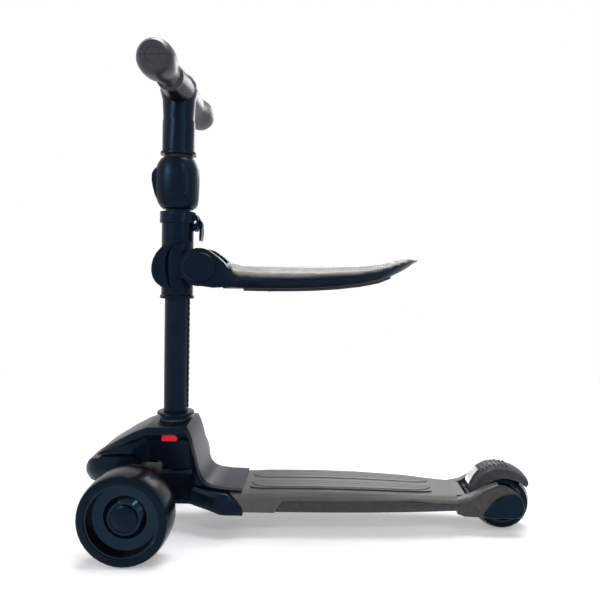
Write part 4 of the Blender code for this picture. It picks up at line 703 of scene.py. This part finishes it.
def screw(radius):
    """A round head on a short stub. Its lengths are shares of the radius, or of the head's height."""
    height = radius * HEAD_HEIGHT
    profile = [(0, -radius * 0.6), (radius * 0.9, -radius * 0.6), (radius, 0), (radius * 0.97, height * 0.6),
               (radius * 0.82, height * 0.92), (radius * 0.70, height), (radius * 0.60, height),
               (radius * 0.42, -height * 0.2), (0, -height * 0.4)]
    return turned(profile, cross_from=RECESS_RING)


print(f"a head of 2.6 mm radius is {2.6 * HEAD_HEIGHT:.1f} mm high")

# %% Screws, row by row
TRAY_STARTS = [(x, y, -0.1) for x in (-0.024, 0.076, 0.176) for y in (-0.036, 0.036)]
COVER_STARTS = [(x, y, 0.2) for x in (-0.054, 0.086) for y in (-0.028, 0.028)]
SCREW_ROWS = [
    ("lock_screws", "stem", "lock_shell_left", FROM_LEFT, 2.6 * MM,
     [(-0.1691, -0.3, 0.5164), (-0.1750, -0.3, 0.4793)]),
    ("hood_screws", "chassis", "front_housing", FROM_LEFT, 1.6 * MM, [(-0.1833, -0.3, 0.1040)]),
    ("tray_screws", "chassis", "underside_tray", FROM_BELOW, 3.2 * MM, TRAY_STARTS),
    ("boot_screws", "chassis", "nose_boot", FROM_BELOW, 3.2 * MM, [(-0.105, y, -0.1) for y in (-0.03, 0.03)]),
    ("cover_screws", "seat", "seat_under_cover", FROM_BELOW, 2.8 * MM, COVER_STARTS),
]
# The lock shell's screws are black rather than steel, which paints the shade of the wells they sit in. The
# hood's screw is black too.
DARK_SCREWS = ("lock_screws", "hood_screws")
for name, body, node, direction, radius, starts in SCREW_ROWS:
    placed = [(screw(radius), square_to(*land(node, start, direction), -radius * SCREW_SINK))
              for start in starts]
    piece(name, placed, body, "satin_black" if name in DARK_SCREWS else "steel")
print(f"{sum(len(starts) for *_, starts in SCREW_ROWS)} screws")

# %% [markdown]
# The clamp's pin ends in a riveted head on each ear, a bright dot at the clamp. A line at the pin itself could
# pass through its hole, so the ear's face is found just beside it.

# %% Rivets
CLAMP_PIN = Vector((-0.163094, 0, 0.441677))
BESIDE_PIN = 3.2 * MM
AWAY = 50 * MM
RIVET_SEGMENTS = 20
RIVET_PROFILE = [(0, -0.3 * MM), (2.1 * MM, -0.3 * MM), (2.2 * MM, 0.3 * MM), (1.7 * MM, 0.9 * MM),
                 (0.9 * MM, 1.2 * MM), (0, 1.3 * MM)]

rivets = []
for side in (-1, 1):
    place, _ = land("clamp_band", CLAMP_PIN + Vector((BESIDE_PIN, side * AWAY, 0)), (0, -side, 0))
    rivet_place = Vector((CLAMP_PIN.x, place.y, CLAMP_PIN.z))
    rivets.append((turned(RIVET_PROFILE, RIVET_SEGMENTS), square_to(rivet_place, Vector((0, side, 0)))))
piece("clamp_rivets", rivets, "seat_bracket", "steel")
print(f"{len(rivets)} rivets")

# %% [markdown]
# The disc on the end of each grip carries a small dark triangle. It is a turned shape with only three sides,
# and it stands just proud of the disc, because two faces in one plane would flicker.

# %% Cap marks
MARK_REACH = 2.4 * MM
MARK_SINK = 0.2 * MM
MARK_RISE = 0.12 * MM

for side, word in ((-1, "left"), (1, "right")):
    low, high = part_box(f"end_cap_{word}")
    centre = Vector(((low.x + high.x) / 2, low.y if side < 0 else high.y, (low.z + high.z) / 2))
    place, _ = land(f"end_cap_{word}", centre + Vector((0, side * AWAY, 0)), (0, -side, 0))
    mark = turned([(0, -MARK_SINK), (MARK_REACH, -MARK_SINK), (MARK_REACH, MARK_RISE), (0, MARK_RISE)], 3)
    piece(f"cap_mark_{word}", [(mark, square_to(place, Vector((0, side, 0))))], "t_bar", "rubber")
print(f"a mark on each end cap, {MARK_RISE / MM:.2f} mm proud")
